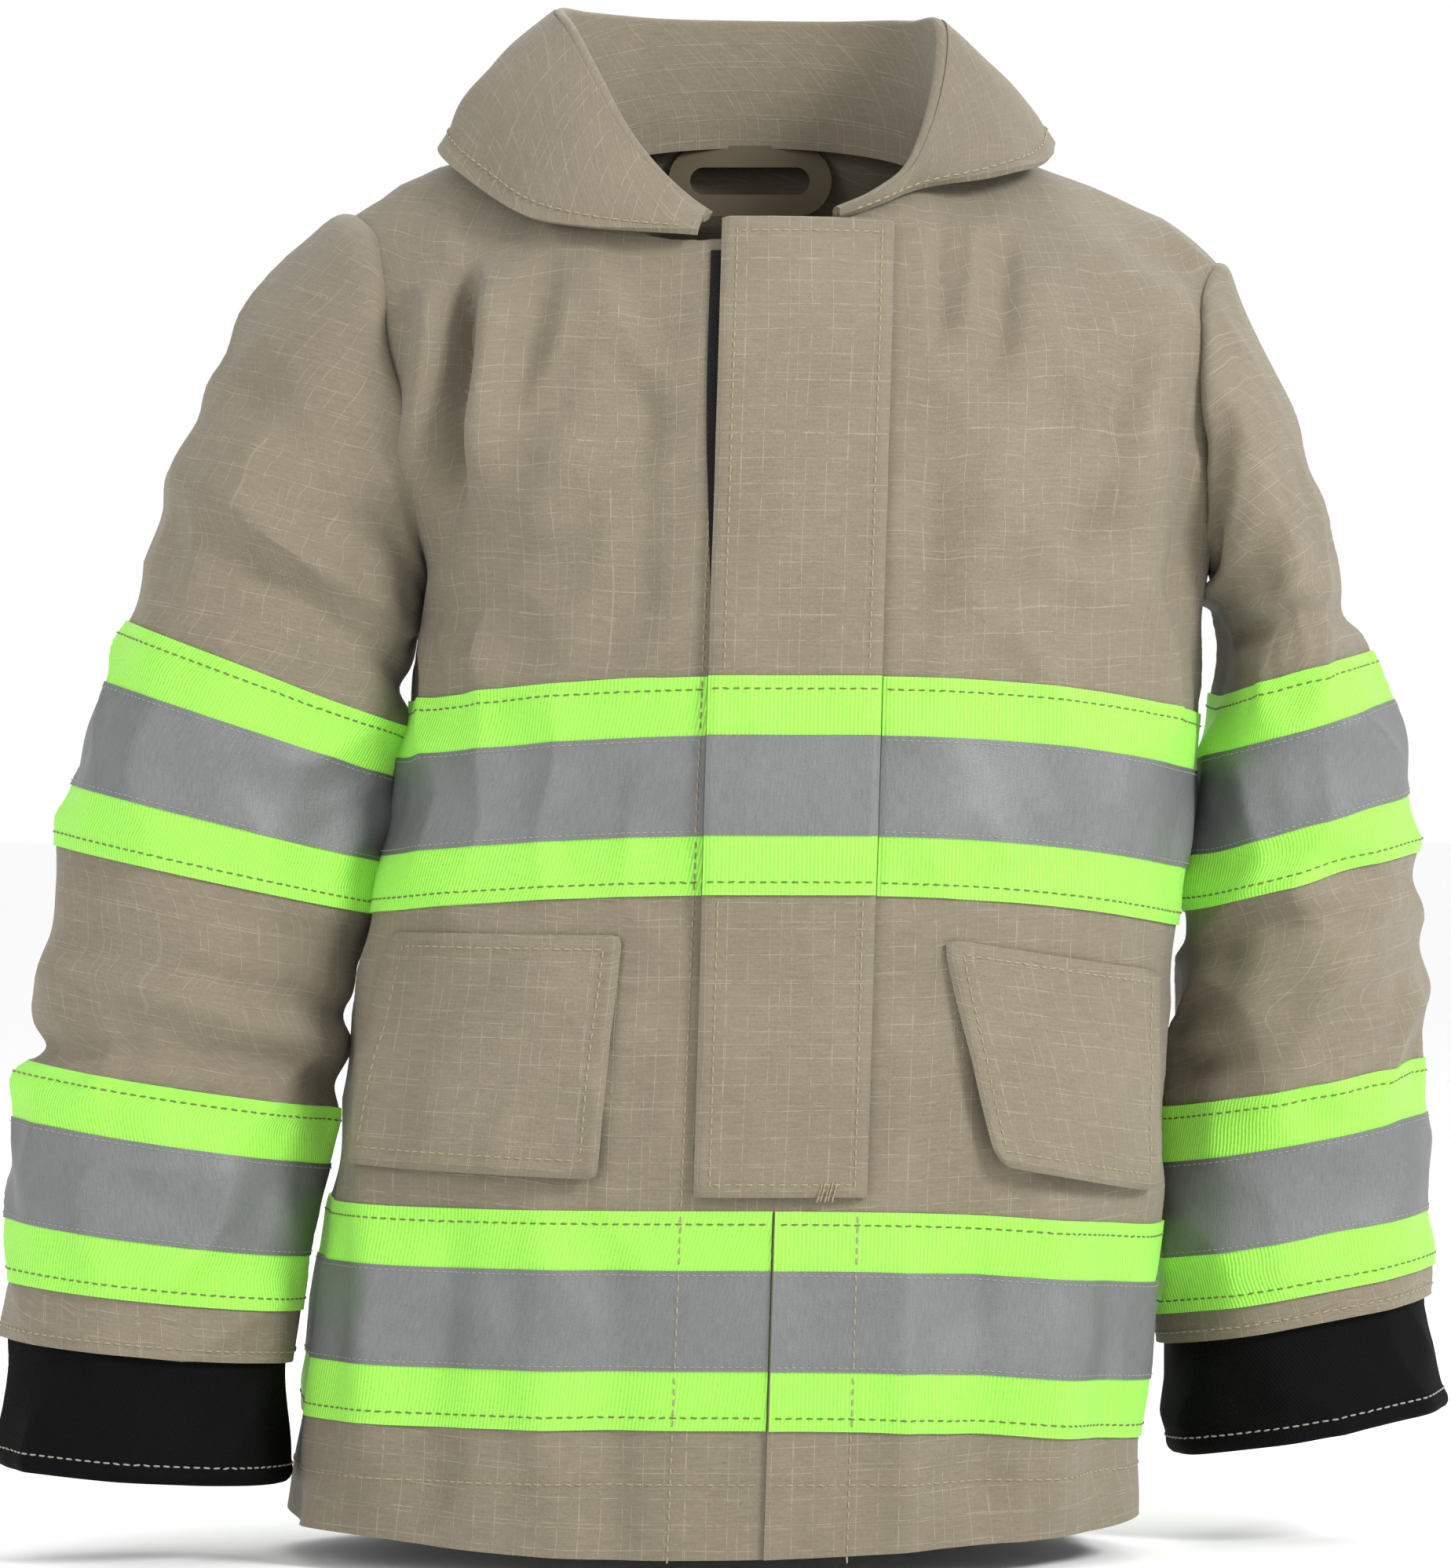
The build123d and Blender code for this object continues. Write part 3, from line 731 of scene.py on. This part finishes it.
# ---- stitches ----
class Stitches:
    """One object that holds every stitch of a colour on one body."""

    def __init__(self):
        self.groups = {}
        self.random = np.random.default_rng(5)

    def row(self, name, where, slot, points, normal_of, pitch=3.6, length=2.5, radius=0.35, lift=0.15):
        """Stitches along a polyline of points; normal_of gives the way out of the cloth."""
        run = lengths(points)
        count = max(int(run[-1] / pitch), 1)
        at = (np.arange(count) + 0.5) * run[-1] / count
        middle = np.stack([np.interp(at, run, points[:, k]) for k in range(3)], 1)
        ahead = np.stack([np.interp(at + 0.5, run, points[:, k]) for k in range(3)], 1)
        behind = np.stack([np.interp(at - 0.5, run, points[:, k]) for k in range(3)], 1)
        along_row = unit(ahead - behind)
        out = np.stack([np.interp(at, run, normal_of[:, k]) for k in range(3)], 1)
        side = unit(np.cross(out, along_row))
        group = self.groups.setdefault((name, slot), {"where": where, "verts": [], "faces": []})
        tilt = self.random.normal(0, 0.07, count)
        for p, a, o, s, k in zip(middle, along_row, out, side, tilt):
            a = a + s * k
            first = len(group["verts"])
            for share, size in ((-0.5, 0.35), (-0.32, 0.95), (0.32, 0.95), (0.5, 0.35)):
                centre = p + a * share * length + o * (lift - (1 - size) * radius * 0.9)
                for turn in range(6):
                    angle = turn * pi / 3
                    group["verts"].append(centre + (s * cos(angle) + o * sin(angle)) * radius * size)
            for ring in range(3):
                for turn in range(6):
                    i, j = first + ring * 6 + turn, first + ring * 6 + (turn + 1) % 6
                    group["faces"].append((i, j, j + 6, i + 6))
            group["faces"].append(tuple(first + k for k in range(5, -1, -1)))
            group["faces"].append(tuple(first + 18 + k for k in range(6)))

    def finish(self):
        for (name, slot), group in self.groups.items():
            obj = make_object(name, group["verts"], group["faces"], None, [slot])
            obj.data.shade_smooth()
            give(obj, group["where"], RECORD_SLOT[slot])


TAPE_INSET, STRIPE_INSET = 4.5, 1.6  # from the trim's edge to its stitches
FINE = {"length": 1.6, "pitch": 2.6, "radius": 0.22}
RECORD_SLOT = {"thread_tan": "khaki_shell", "thread_olive": "lime_trim", "thread_pale": "cuff_black"}
stitches = Stitches()


def outward_along(points, outer):
    """Unit directions out of the cloth, from the same row lifted further."""
    return unit(outer - points)


def body_row(name, where, slot, t, z, lift, **sizes):
    points = body_cloth(t, z, lift)
    stitches.row(name, where, slot, points, outward_along(points, body_cloth(t, z, lift + 1)), **sizes)


# ---- tapes round the body ----
def drooped(z, t, middle):
    """The tape hangs lower towards the coat's sides, as it is sewn."""
    x = np.cos(t)
    chest = -8.0 * np.abs(x) ** 2.2 - 4.0 * np.clip(x, 0, 1) ** 2
    hem = -9.0 * np.clip(x, 0, 1) ** 2
    return z + (chest if middle == CHEST_TAPE_Z else hem)


# Trim: piece, CAD node, width, face above the shell, thickness, rows of its mesh, material slot.
# The rows are those on the body, on the flap and on the sleeves.
TRIM = [
    ("band", "tape", TAPE_WIDTH, 1.0, 0.9, (30, 34, 32), "lime_trim"),
    ("stripe", "silver", SILVER_WIDTH, 1.5, 0.4, (14, 34, 15), "reflective_silver"),
]
# Its stitches: place across the trim, thread, height above the shell, sizes.
TRIM_STITCHES = [
    (-TAPE_WIDTH / 2 + TAPE_INSET, "thread_olive", 1.0, {}),
    (TAPE_WIDTH / 2 - TAPE_INSET, "thread_olive", 1.0, {}),
    (-SILVER_WIDTH / 2 + STRIPE_INSET, "thread_pale", 1.5, FINE),
    (SILVER_WIDTH / 2 - STRIPE_INSET, "thread_pale", 1.5, FINE),
]


def body_band(name, where, t0, t1, middle, columns, stems):
    """A tape, its reflective stripe and their stitches; stems begin the names of its CAD nodes."""
    share = np.linspace(0, 1, columns)[None, :]
    for kind, node, width, lift, thick, rows, slot in TRIM:
        z = np.linspace(middle - width / 2, middle + width / 2, rows[0])[:, None]
        z = np.repeat(z, columns, 1)
        t = t0(z) * (1 - share) + t1(z) * share
        grid = body_cloth(t, drooped(z, t, middle), lift)
        piece = sheet_object(f"{name}_{kind}", grid, thick, [slot])
        give(piece, where, slot, *(f"{stem}_{node}" for stem in stems))
    s = np.linspace(0.004, 0.996, columns * 2)
    for offset, slot, lift, sizes in TRIM_STITCHES:
        z = np.full(columns * 2, middle + offset)
        t = t0(z) * (1 - s) + t1(z) * s
        row = f"{name}_silver_thread" if sizes else f"{name}_thread"
        body_row(row, where, slot, t, drooped(z, t, middle), lift, **sizes)


for label, middle in (("chest", CHEST_TAPE_Z), ("hem", HEM_TAPE_Z)):
    on_chest = label == "chest"
    right_end = leaning_line((FLAP_FREE_X if on_chest else FRONT_X) - 0.5)
    left_start = leaning_line((FLAP_SEWN_X if on_chest else FRONT_X) + 0.5)
    stems = [f"right_{label}", f"right_edge_{label}"]
    body_band(f"back_{label}", "coat_body", constant(0.0), constant(pi), middle, 150, [f"back_{label}"])
    body_band(f"right_{label}", RIGHT_BEND, constant(-pi), right_end, middle, 110, stems)
    stems = ["left_chest"] if on_chest else ["left_hem", "left_edge_hem"]
    body_band(f"left_{label}", LEFT_BEND, left_start, constant(0.0), middle, 100, stems)


# ---- storm flap ----
def flap_lift(x, z):
    """The flap's outer face above the shell: doubled cloth that rises a little at its free edge."""
    across = (x - LEAN * z - FLAP_FREE_X) / (FLAP_SEWN_X - FLAP_FREE_X)
    rise = 0.9 * (1 - np.clip(across, 0, 1)) ** 2 * (1 + 0.7 * np.sin(z / 33.0))
    rounded = -1.2 * np.exp(-((across / 0.025) ** 2)) - 1.6 * np.exp(-(((1 - across) / 0.02) ** 2))
    ends = -0.9 * np.exp(-(((z - FLAP_BOTTOM) / 1.4) ** 2)) - 0.9 * np.exp(-(((FLAP_TOP - z) / 1.4) ** 2))
    puffed = 0.7 * np.sin(np.clip(across, 0, 1) * pi)
    return 4.0 + rise + rounded + ends + puffed


def flap_grid(x0, x1, z0, z1, columns, rows, extra=0.0):
    x, z = leaning_grid(x0, x1, z0, z1, columns, rows)
    return front_cloth(x, z, flap_lift(x, z) + extra)


grid = flap_grid(FLAP_FREE_X, FLAP_SEWN_X, FLAP_BOTTOM, FLAP_TOP, 64, 230)
flap = sheet_object("storm_flap_cloth", grid, 2.3, ["khaki_shell"])
give(flap, FLAP_BEND, "khaki_shell", "storm_flap")
for kind, node, width, lift, thick, rows, slot in TRIM:
    low, high = CHEST_TAPE_Z - width / 2, CHEST_TAPE_Z + width / 2
    grid = flap_grid(FLAP_FREE_X, FLAP_SEWN_X, low, high, 60, rows[1], lift)
    give(sheet_object(f"storm_flap_{kind}", grid, thick, [slot]), FLAP_BEND, slot, f"flap_{node}")


def flap_row(name, slot, x, z, extra=0.0, **sizes):
    x = x + LEAN * z
    points = front_cloth(x, z, flap_lift(x, z) + extra)
    outer = front_cloth(x, z, flap_lift(x, z) + extra + 1)
    stitches.row(name, FLAP_BEND, slot, points, outward_along(points, outer), **sizes)


tall = np.linspace(FLAP_BOTTOM + 3, FLAP_TOP - 4, 200)
for x in (FLAP_FREE_X + 5.5, FLAP_SEWN_X - 4.5):
    for z in (tall[tall < CHEST_TAPE_Z - 39], tall[tall > CHEST_TAPE_Z + 39]):
        flap_row("storm_flap_thread", "thread_tan", np.full_like(z, x), z)
for z in (FLAP_BOTTOM + 4.5, FLAP_TOP - 5.5):
    x = np.linspace(FLAP_FREE_X + 6, FLAP_SEWN_X - 5, 30)
    flap_row("storm_flap_thread", "thread_tan", x, np.full_like(x, z))
for offset in (-TAPE_WIDTH / 2 + TAPE_INSET, TAPE_WIDTH / 2 - TAPE_INSET):
    x = np.linspace(FLAP_FREE_X + 1, FLAP_SEWN_X - 1, 40)
    flap_row("storm_flap_tape_thread", "thread_olive", x, np.full_like(x, CHEST_TAPE_Z + offset), 1.0)

for name, x0, x1, z0, z1, lift, thick, where, node in (
    ("loop_strip", -19.0, 1.0, 300.0, 462.0, 0.9, 0.8, RIGHT_BEND, "front_loop_strip"),
    ("hook_strip", -11.0, 9.0, 139.0, 464.0, 1.75, 0.6, "storm_flap", "flap_hook_strip"),
):
    x, z = leaning_grid(x0, x1, z0, z1, 10, 60)
    if name == "loop_strip":
        x = x + 5.0 * ramp(z1 - z, 40, z1 - z0)
    strip = sheet_object(name, front_cloth(x, z, lift), thick, ["hook_and_loop"])
    give(strip, where, "hook_and_loop", node)


# ---- pocket flaps ----
def inside_outline(corners, columns, rows, radius):
    """A grid over four corners (top inner, top outer, bottom outer, bottom inner), each eased."""
    (ax, az), (bx, bz), (cx, cz), (dx, dz) = corners
    u = np.linspace(0, 1, columns)[None, :]
    v = np.linspace(0, 1, rows)[:, None]
    x = (ax * (1 - u) + bx * u) * (1 - v) + (dx * (1 - u) + cx * u) * v
    z = (az * (1 - u) + bz * u) * (1 - v) + (dz * (1 - u) + cz * u) * v
    width, tall = hypot(bx - ax, bz - az), hypot(dx - ax, dz - az)
    mx, mz = (ax + bx + cx + dx) / 4, (az + bz + cz + dz) / 4
    eu = np.clip(1 - np.minimum(u, 1 - u) * width / radius, 0, 1)
    ev = np.clip(1 - np.minimum(v, 1 - v) * tall / radius, 0, 1)
    pull = 0.29 * radius * np.clip(eu + ev - 1, 0, 1) ** 1.4
    away = np.hypot(x - mx, z - mz)
    return x + (mx - x) / away * pull, z + (mz - z) / away * pull, u, v


def pocket_cloth(x, z, u, v, stand, extra=0.0):
    """The flap's outer face, standing off the coat towards its lower edge."""
    drop = ramp(v, 0.0, 1.0)
    lift = 2.6 + stand * drop * (0.55 + 0.45 * np.sin(3.1 * u + 0.6))
    lift = lift + 0.9 * np.sin(pi * v) * np.sin(pi * u)
    edge = np.minimum(np.minimum(u, 1 - u) * 85, np.minimum(v, 1 - v) * 85)
    lift = lift - 1.1 * np.exp(-((edge / 1.5) ** 2)) + 0.35 * np.exp(-(((edge - 3.2) / 1.6) ** 2))
    return front_cloth(x, z, lift + extra)


for side, corners, stand in (("right", RIGHT_POCKET, 4.2), ("left", LEFT_POCKET, 7.0)):
    x, z, u, v = inside_outline(corners, 70, 64, 4.0 if side == "right" else 7.0)
    body = f"{side}_pocket_flap"
    grid = pocket_cloth(x, z, u, v, stand)
    cloth = sheet_object(f"{side}_pocket_cloth", grid[::-1], 2.2, LINED)
    give(cloth, body, "khaki_shell", body)
    low, high, top = 0.075, 0.925, 0.06
    path = [(low, top), (high, top), (high, high), (low, high), (low, top)]
    ring = [
        (a[0] * (1 - k) + b[0] * k, a[1] * (1 - k) + b[1] * k)
        for a, b in zip(path, path[1:])
        for k in np.linspace(0, 1, 30)[:-1]
    ]
    ring = np.array(ring + ring[:1])
    column, row = ring[:, 0] * 69, ring[:, 1] * 63

    def sample(field):
        c, r = np.floor(column).astype(int), np.floor(row).astype(int)
        fc, fr = (column - c)[:, None], (row - r)[:, None]
        return (field[r, c] * (1 - fc) + field[r, c + 1] * fc) * (1 - fr) + (
            field[r + 1, c] * (1 - fc) + field[r + 1, c + 1] * fc
        ) * fr

    points = sample(grid)
    outer = sample(pocket_cloth(x, z, u, v, stand, 1.0))
    stitches.row(f"{side}_pocket_thread", body, "thread_tan", points, outward_along(points, outer))
    outward = 1 if side == "left" else -1
    pouch_x = sorted(corners[0][0] + outward * step for step in (8, 76))
    pouch_z = np.linspace(corners[0][1] - 105, corners[0][1] - 4, 40)
    pz, px = np.meshgrid(pouch_z, np.linspace(*pouch_x, 30), indexing="ij")
    pouch = sheet_object(f"{side}_pouch", front_cloth(px, pz, -3.0), 1.6, ["lining_black"])
    give(pouch, "coat_body", "lining_black", f"{side}_pocket_pouch")


# ---- sleeves ----
BEND_TILT = {"right": 19.0, "left": 22.0}
BEND_RUN = 40.0
ELBOW_REACH = 0.36  # share of the way from the elbow to the rings above and below it
CUFF_LAP = 9.0
TURNS = np.arange(150) * 2 * pi / 150  # the angles of a sleeve's columns


def sleeve_grid(cloth, s0, s1, rows, lift=0.0):
    s, t = np.meshgrid(np.linspace(s0, s1, rows), TURNS, indexing="ij")
    return cloth(t, s, lift)


def tube_object(name, points, thick, slots, outward, flip_v=False):
    """A cloth tube, closed round with a seam so that its weave runs true."""
    closed = np.concatenate([points, points[:, :1]], 1)
    return sheet_object(name, closed, thick, slots, outward=outward, flip_v=flip_v)


def sleeve_bends(side, marks):
    """The bends at the armhole and at the elbow, and where the sleeve's two pieces meet."""
    rings = SLEEVES[side]
    upper, lower = f"{side}_upper_sleeve", f"{side}_lower_sleeve"
    # The top leaves the body at the underarm seam and is wholly the sleeve's at the split.
    split = marks[UPPER_TAPE] + TAPE_WIDTH / 2 + 3
    lean, tilt = radians(rings[0, 5]), radians(BEND_TILT[side])
    inward = 1.0 if side == "right" else -1.0
    underarm = rings[0, :3] + inward * rings[0, 3] * np.array([cos(lean), 0.0, -sin(lean)])
    past = underarm + BEND_RUN * np.array([-inward * cos(tilt), 0.0, -sin(tilt)])
    above, elbow, below = rings[ELBOW - 1 : ELBOW + 2, :3]
    start, end = elbow + (above - elbow) * ELBOW_REACH, elbow + (below - elbow) * ELBOW_REACH
    at_armhole = ("coat_body", upper, tuple(underarm * MM), tuple(past * MM))
    return at_armhole, (upper, lower, tuple(start * MM), tuple(end * MM)), split


def cuff_lift(t, share):
    """How far the cuff stands off the sleeve's form, from its seam to its mouth."""
    flare = -3.0 + 4.4 * ramp(share, 0.1, 1)
    return flare + (0.9 * np.sin(t * 3 + 1.1) + 0.5 * np.sin(t * 7 + 0.4)) * share


def sleeve_row(name, where, slot, cloth, at, lift, **sizes):
    """Stitches round a sleeve, at the distance at down it; lift is a height or a function of angle."""
    t = np.linspace(0, 2 * pi, 240)
    s = np.full_like(t, at)
    height = lift(t) if callable(lift) else lift
    points = cloth(t, s, height)
    stitches.row(name, where, slot, points, outward_along(points, cloth(t, s, height + 1)), **sizes)


def make_sleeve(side):
    cloth, marks = make_sleeve_cloth(side)
    at_armhole, at_elbow, split = sleeve_bends(side, marks)
    upper, lower = f"{side}_upper_sleeve", f"{side}_lower_sleeve"

    def from_axis(p):
        rings = SLEEVES[side][:, :3]
        return p - rings[np.argmin(np.linalg.norm(rings - p, axis=1))]

    grid = sleeve_grid(cloth, 0.5, split, 90)
    top = tube_object(f"{side}_sleeve_top", grid, SHELL_THICK, LINED, from_axis, True)
    give(top, at_armhole, "khaki_shell", upper, f"{upper}_lining")
    grid = sleeve_grid(cloth, split, marks[CUFF_TOP], 90)
    bottom = tube_object(f"{side}_sleeve_bottom", grid, SHELL_THICK, LINED, from_axis)
    give(bottom, at_elbow, "khaki_shell", lower, f"{lower}_lining")
    for place, middle, where in (
        ("upper", marks[UPPER_TAPE], at_armhole), ("lower", marks[LOWER_TAPE], lower),
    ):
        for kind, node, width, lift, thick, rows, slot in TRIM:
            grid = sleeve_grid(cloth, middle - width / 2, middle + width / 2, rows[2], lift)
            piece = tube_object(f"{side}_{place}_{kind}", grid, thick, [slot], from_axis)
            give(piece, where, slot, f"{side}_{place}_sleeve_{node}")
        for offset, slot, lift, sizes in TRIM_STITCHES:
            sleeve_row(f"{side}_{place}_{slot}", where, slot, cloth, middle + offset, lift, **sizes)

    cuff_start, mouth = marks[CUFF_TOP] - CUFF_LAP, marks[MOUTH]
    share = np.linspace(0, 1, 40)[:, None]
    hem = 0.8 * np.exp(-(((share - 0.93) / 0.05) ** 2)) - 0.9 * np.exp(-(((1 - share) / 0.015) ** 2))
    grid = sleeve_grid(cloth, cuff_start, mouth, 40, cuff_lift(TURNS, share) + hem)
    cuff = tube_object(f"{side}_cuff_cloth", grid, 2.0, ["cuff_black"], from_axis)
    give(cuff, lower, "cuff_black", f"{side}_cuff")
    at = mouth - 6.5
    near = (at - cuff_start) / (mouth - cuff_start)
    pale = f"{side}_cuff_thread_pale"
    sleeve_row(pale, lower, "thread_pale", cloth, at, lambda t: cuff_lift(t, near) + 0.3)
    sleeve_row(f"{side}_cuff_thread_tan", lower, "thread_tan", cloth, marks[CUFF_TOP] - 4.0, 0.1)


for side in ("right", "left"):
    make_sleeve(side)

# ---- topstitching on the body ----
# Down each front, in runs that lie on the cloth, the tape or the stripe: from, to, height.
for z0, z1, lift in (
    (3, 49, 0.0), (50.5, 69, 1.0), (70.5, 105, 1.5), (107, 125, 1.0), (127, 235, 0.0),
    (237, 255, 1.0), (257, 291, 1.5), (293, 311, 1.0), (313, 463, 0.0),
):
    z = np.linspace(z0, z1, 80)
    if z1 < FLAP_BOTTOM:
        left_t = front_angle(FOLD_LEFT - 9 + LEAN * z, z)
        body_row("left_front_thread", LEFT_BEND, "thread_tan", left_t, z, lift)
    right_t = front_angle(FLAP_FREE_X - 5.5 + 0.04 * z, z)
    body_row("right_front_thread", RIGHT_BEND, "thread_tan", right_t, z, lift)
HEM_STITCH_Z = 31.0
for name, where, t0, t1 in (
    ("back", "coat_body", constant(0.0), constant(pi)),
    ("right_front", RIGHT_BEND, constant(-pi), leaning_line(FRONT_X - 3)),
    ("left_front", LEFT_BEND, leaning_line(FRONT_X + 3), constant(0.0)),
):
    z = np.full(220, HEM_STITCH_Z)
    s = np.linspace(0, 1, 220)
    body_row(f"{name}_hem_thread", where, "thread_tan", t0(z) * (1 - s) + t1(z) * s, z, 0.0)


# ---- collar ----
def collar_points():
    """The collar as one sheet: up inside the stand, over the fold and down to its edge."""
    angles = np.linspace(-163, 149, 180)
    roll_r, roll_z, edge_r, edge_z = (smooth(angles, COLLAR[:, 0], COLLAR[:, k]) for k in range(1, 5))
    x0, y0, z0, half_w, half_l, tilt = NECK
    a = np.radians(angles)
    foot_r = 1 / np.hypot(np.sin(a) / half_w, np.cos(a) / (half_l * cos(radians(tilt)))) - 2.6
    foot_z = z0 + foot_r * np.cos(a) * tan(radians(tilt)) - 2
    rows = []
    fall = np.hypot(edge_r - roll_r, edge_z - roll_z)
    for k in np.linspace(0, 1, 22)[:-1]:
        stand_r = foot_r * (1 - k) + (roll_r - 2.4) * k - 1.6 * sin(pi * k)
        rows.append((stand_r, foot_z * (1 - k) + (roll_z - 1.6) * k))
    for k in np.linspace(0, 1, 9)[:-1]:
        turn = pi * (1 - k)
        rows.append((roll_r - 0.2 + 2.3 * np.cos(turn), roll_z - 1.6 + 2.4 * np.sin(turn)))
    for k in np.linspace(0, 1, 40):
        bow = 3.2 * sin(pi * min(k * 1.15, 1)) * np.clip(fall / 60, 0, 1) + 1.8
        out_r, out_z = (roll_z - edge_z) / fall, (edge_r - roll_r) / fall
        fall_r = roll_r * (1 - k) + edge_r * k + (bow + 1.4 * (1 - k)) * out_r
        rows.append((fall_r, roll_z * (1 - k) + edge_z * k + (bow + 0.2) * out_z - 1.2 * (1 - k)))
    r = np.array([row[0] for row in rows])
    z = np.array([row[1] for row in rows])
    p = np.stack([x0 + r * np.sin(a), y0 + r * np.cos(a), z], -1)
    share = ramp(np.arange(len(rows)) / len(rows), 0.35, 1.0)[:, None]
    wobble = (1.3 * waves(p, 70, 71) + 0.5 * waves(p, 30, 72)) * share
    radial = np.stack([np.sin(a), np.cos(a), np.full_like(a, 0.5)], -1)[None]
    return p + radial * wobble[..., None]


def collar_outward(p):
    return p - np.array([9.0, -12.0, 400.0])


collar_grid = collar_points()
collar = sheet_object("collar", collar_grid, 2.4, ["khaki_shell"], collar_outward)
give(collar, "coat_body", "khaki_shell", "collar_stand", "under_collar", "upper_collar")
edge_row = collar_grid[-5, 3:-3]
way = unit(np.cross(np.gradient(edge_row, axis=0), edge_row - collar_grid[-9, 3:-3]))
if way[80] @ collar_outward(edge_row[80]) < 0:
    way = -way
stitches.row("collar_thread", "coat_body", "thread_tan", edge_row, way, lift=0.3)

# ---- thread nest at the flap's foot ----
tack_z = np.linspace(FLAP_BOTTOM - 1.5, FLAP_BOTTOM + 5, 6)
TACK = {"pitch": 2.0, "length": 2.6, "radius": 0.3}
for k, x in enumerate((28.0, 29.2, 30.6, 31.7, 33.1)):
    z = tack_z + 0.4 * (k % 2)
    t = front_angle(x + LEAN * z + (tack_z - FLAP_BOTTOM) * 0.25, z)
    body_row("flap_tack", "left_front_edge", "thread_tan", t, z, 4.6, **TACK)
stitches.finish()

# ---- the flat size of each piece of cloth ----
# Piece, width and length of its cut, share of that rectangle, how it is held, by what, trim on it.
CUTS = [
    ("back", 420, 570, 0.82, "hung", ["hanger_loop"], "back"),
    ("right_front", 250, 570, 0.71, "hung", ["back"], "right"),
    ("left_front", 220, 570, 0.76, "hung", ["back"], "left"),
    ("right_front_lap", 25, 458, 1.0, "hung", ["right_front"], ""),
    ("storm_flap_cloth", 62, 350, 1.0, "laid", ["left_front", "right_front"], "storm_flap"),
    ("loop_strip", 20, 165, 1.0, "laid", ["right_front"], ""),
    ("hook_strip", 20, 328, 1.0, "laid", ["storm_flap_cloth"], ""),
    ("collar", 545, 135, 0.53, "folded", ["back", "right_front", "left_front"], ""),
    ("right_pocket_cloth", 108, 86, 0.94, "laid", ["right_front"], ""),
    ("left_pocket_cloth", 104, 82, 0.88, "laid", ["left_front"], ""),
    ("right_pouch", 76, 102, 0.97, "laid", ["right_front"], ""),
    ("left_pouch", 90, 102, 0.93, "laid", ["left_front"], ""),
    ("right_sleeve_top", 370, 268, 0.71, "hung", ["back", "right_front"], "right_upper"),
    ("left_sleeve_top", 340, 238, 0.68, "hung", ["back", "left_front"], "left_upper"),
    ("right_sleeve_bottom", 342, 180, 0.89, "hung", ["right_sleeve_top"], "right_lower"),
    ("left_sleeve_bottom", 332, 166, 0.93, "hung", ["left_sleeve_top"], "left_lower"),
    ("right_cuff_cloth", 315, 54, 0.96, "hung", ["right_sleeve_bottom"], ""),
    ("left_cuff_cloth", 315, 52, 0.95, "hung", ["left_sleeve_bottom"], ""),
]
for name, width, length, share, held, rests_on, sewn in CUTS:
    on_it = [
        obj for obj in bpy.data.objects
        if sewn and obj.name.startswith(f"{sewn}_") and obj.name.endswith(("_band", "_stripe"))
    ]
    if sewn in ("right", "left"):
        on_it = [obj for obj in on_it if "_chest_" in obj.name or "_hem_" in obj.name]

# ---- CAD nodes that stay, with their materials ----
for place in frame["nodes"]["hanger_loop"].material_slots:
    place.material = MATERIALS["loop_webbing"]


# ---- floor, light and camera ----
floor_mesh = bpy.data.meshes.new("floor")
FLOOR_REACH, FLOOR_Z = 30.0, -0.002
corners = [(x * FLOOR_REACH, y * FLOOR_REACH, FLOOR_Z) for x, y in ((-1, -1), (1, -1), (1, 1), (-1, 1))]
floor_mesh.from_pydata(corners, [], [(0, 1, 2, 3)])
floor_mesh.materials.append(Nodes("floor_pale").finish((0.95, 0.95, 0.95, 1), 0.7))
floor = bpy.data.objects.new("floor", floor_mesh)
bpy.context.scene.collection.objects.link(floor)


def area_light(name, place, aim_z, size, power):
    """A lamp that looks at the coat's axis at the height aim_z."""
    data = bpy.data.lights.new(name, "AREA")
    data.shape = "RECTANGLE"
    data.size, data.size_y = size
    data.energy = power
    light = bpy.data.objects.new(name, data)
    light.location = place
    dx, dy, dz = np.array((0.0, 0.0, aim_z)) - np.array(place)
    light.rotation_euler = (atan2(hypot(dx, dy), -dz), 0.0, -atan2(dx, dy))
    bpy.context.scene.collection.objects.link(light)


area_light("key", (1.55, -1.35, 1.45), 0.3, (0.6, 0.6), 52.0)
area_light("fill", (-1.5, -1.6, 0.9), 0.3, (1.0, 1.2), 14.0)
area_light("rim", (0.2, 1.5, 1.6), 0.35, (1.4, 0.8), 16.0)
world = bpy.data.worlds.new("studio")
world.use_nodes = True
world.node_tree.nodes["Background"].inputs[0].default_value = (1.0, 1.0, 1.0, 1)
world.node_tree.nodes["Background"].inputs[1].default_value = 1.0
bpy.context.scene.world = world
bpy.context.scene.view_settings.view_transform = "Standard"

FRAME_TALL, FRONT_DISTANCE, SENSOR = 0.553, 2.44, 24.0
camera_data = bpy.data.cameras.new("camera")
camera_data.sensor_fit = "VERTICAL"
camera_data.sensor_height = SENSOR
camera_data.lens = SENSOR * FRONT_DISTANCE / FRAME_TALL
camera = bpy.data.objects.new("camera", camera_data)
camera.location = (0.0, -2.5, 0.2746)
camera.rotation_euler = (pi / 2, 0.0, 0.0)
bpy.context.scene.collection.objects.link(camera)
bpy.context.scene.camera = camera
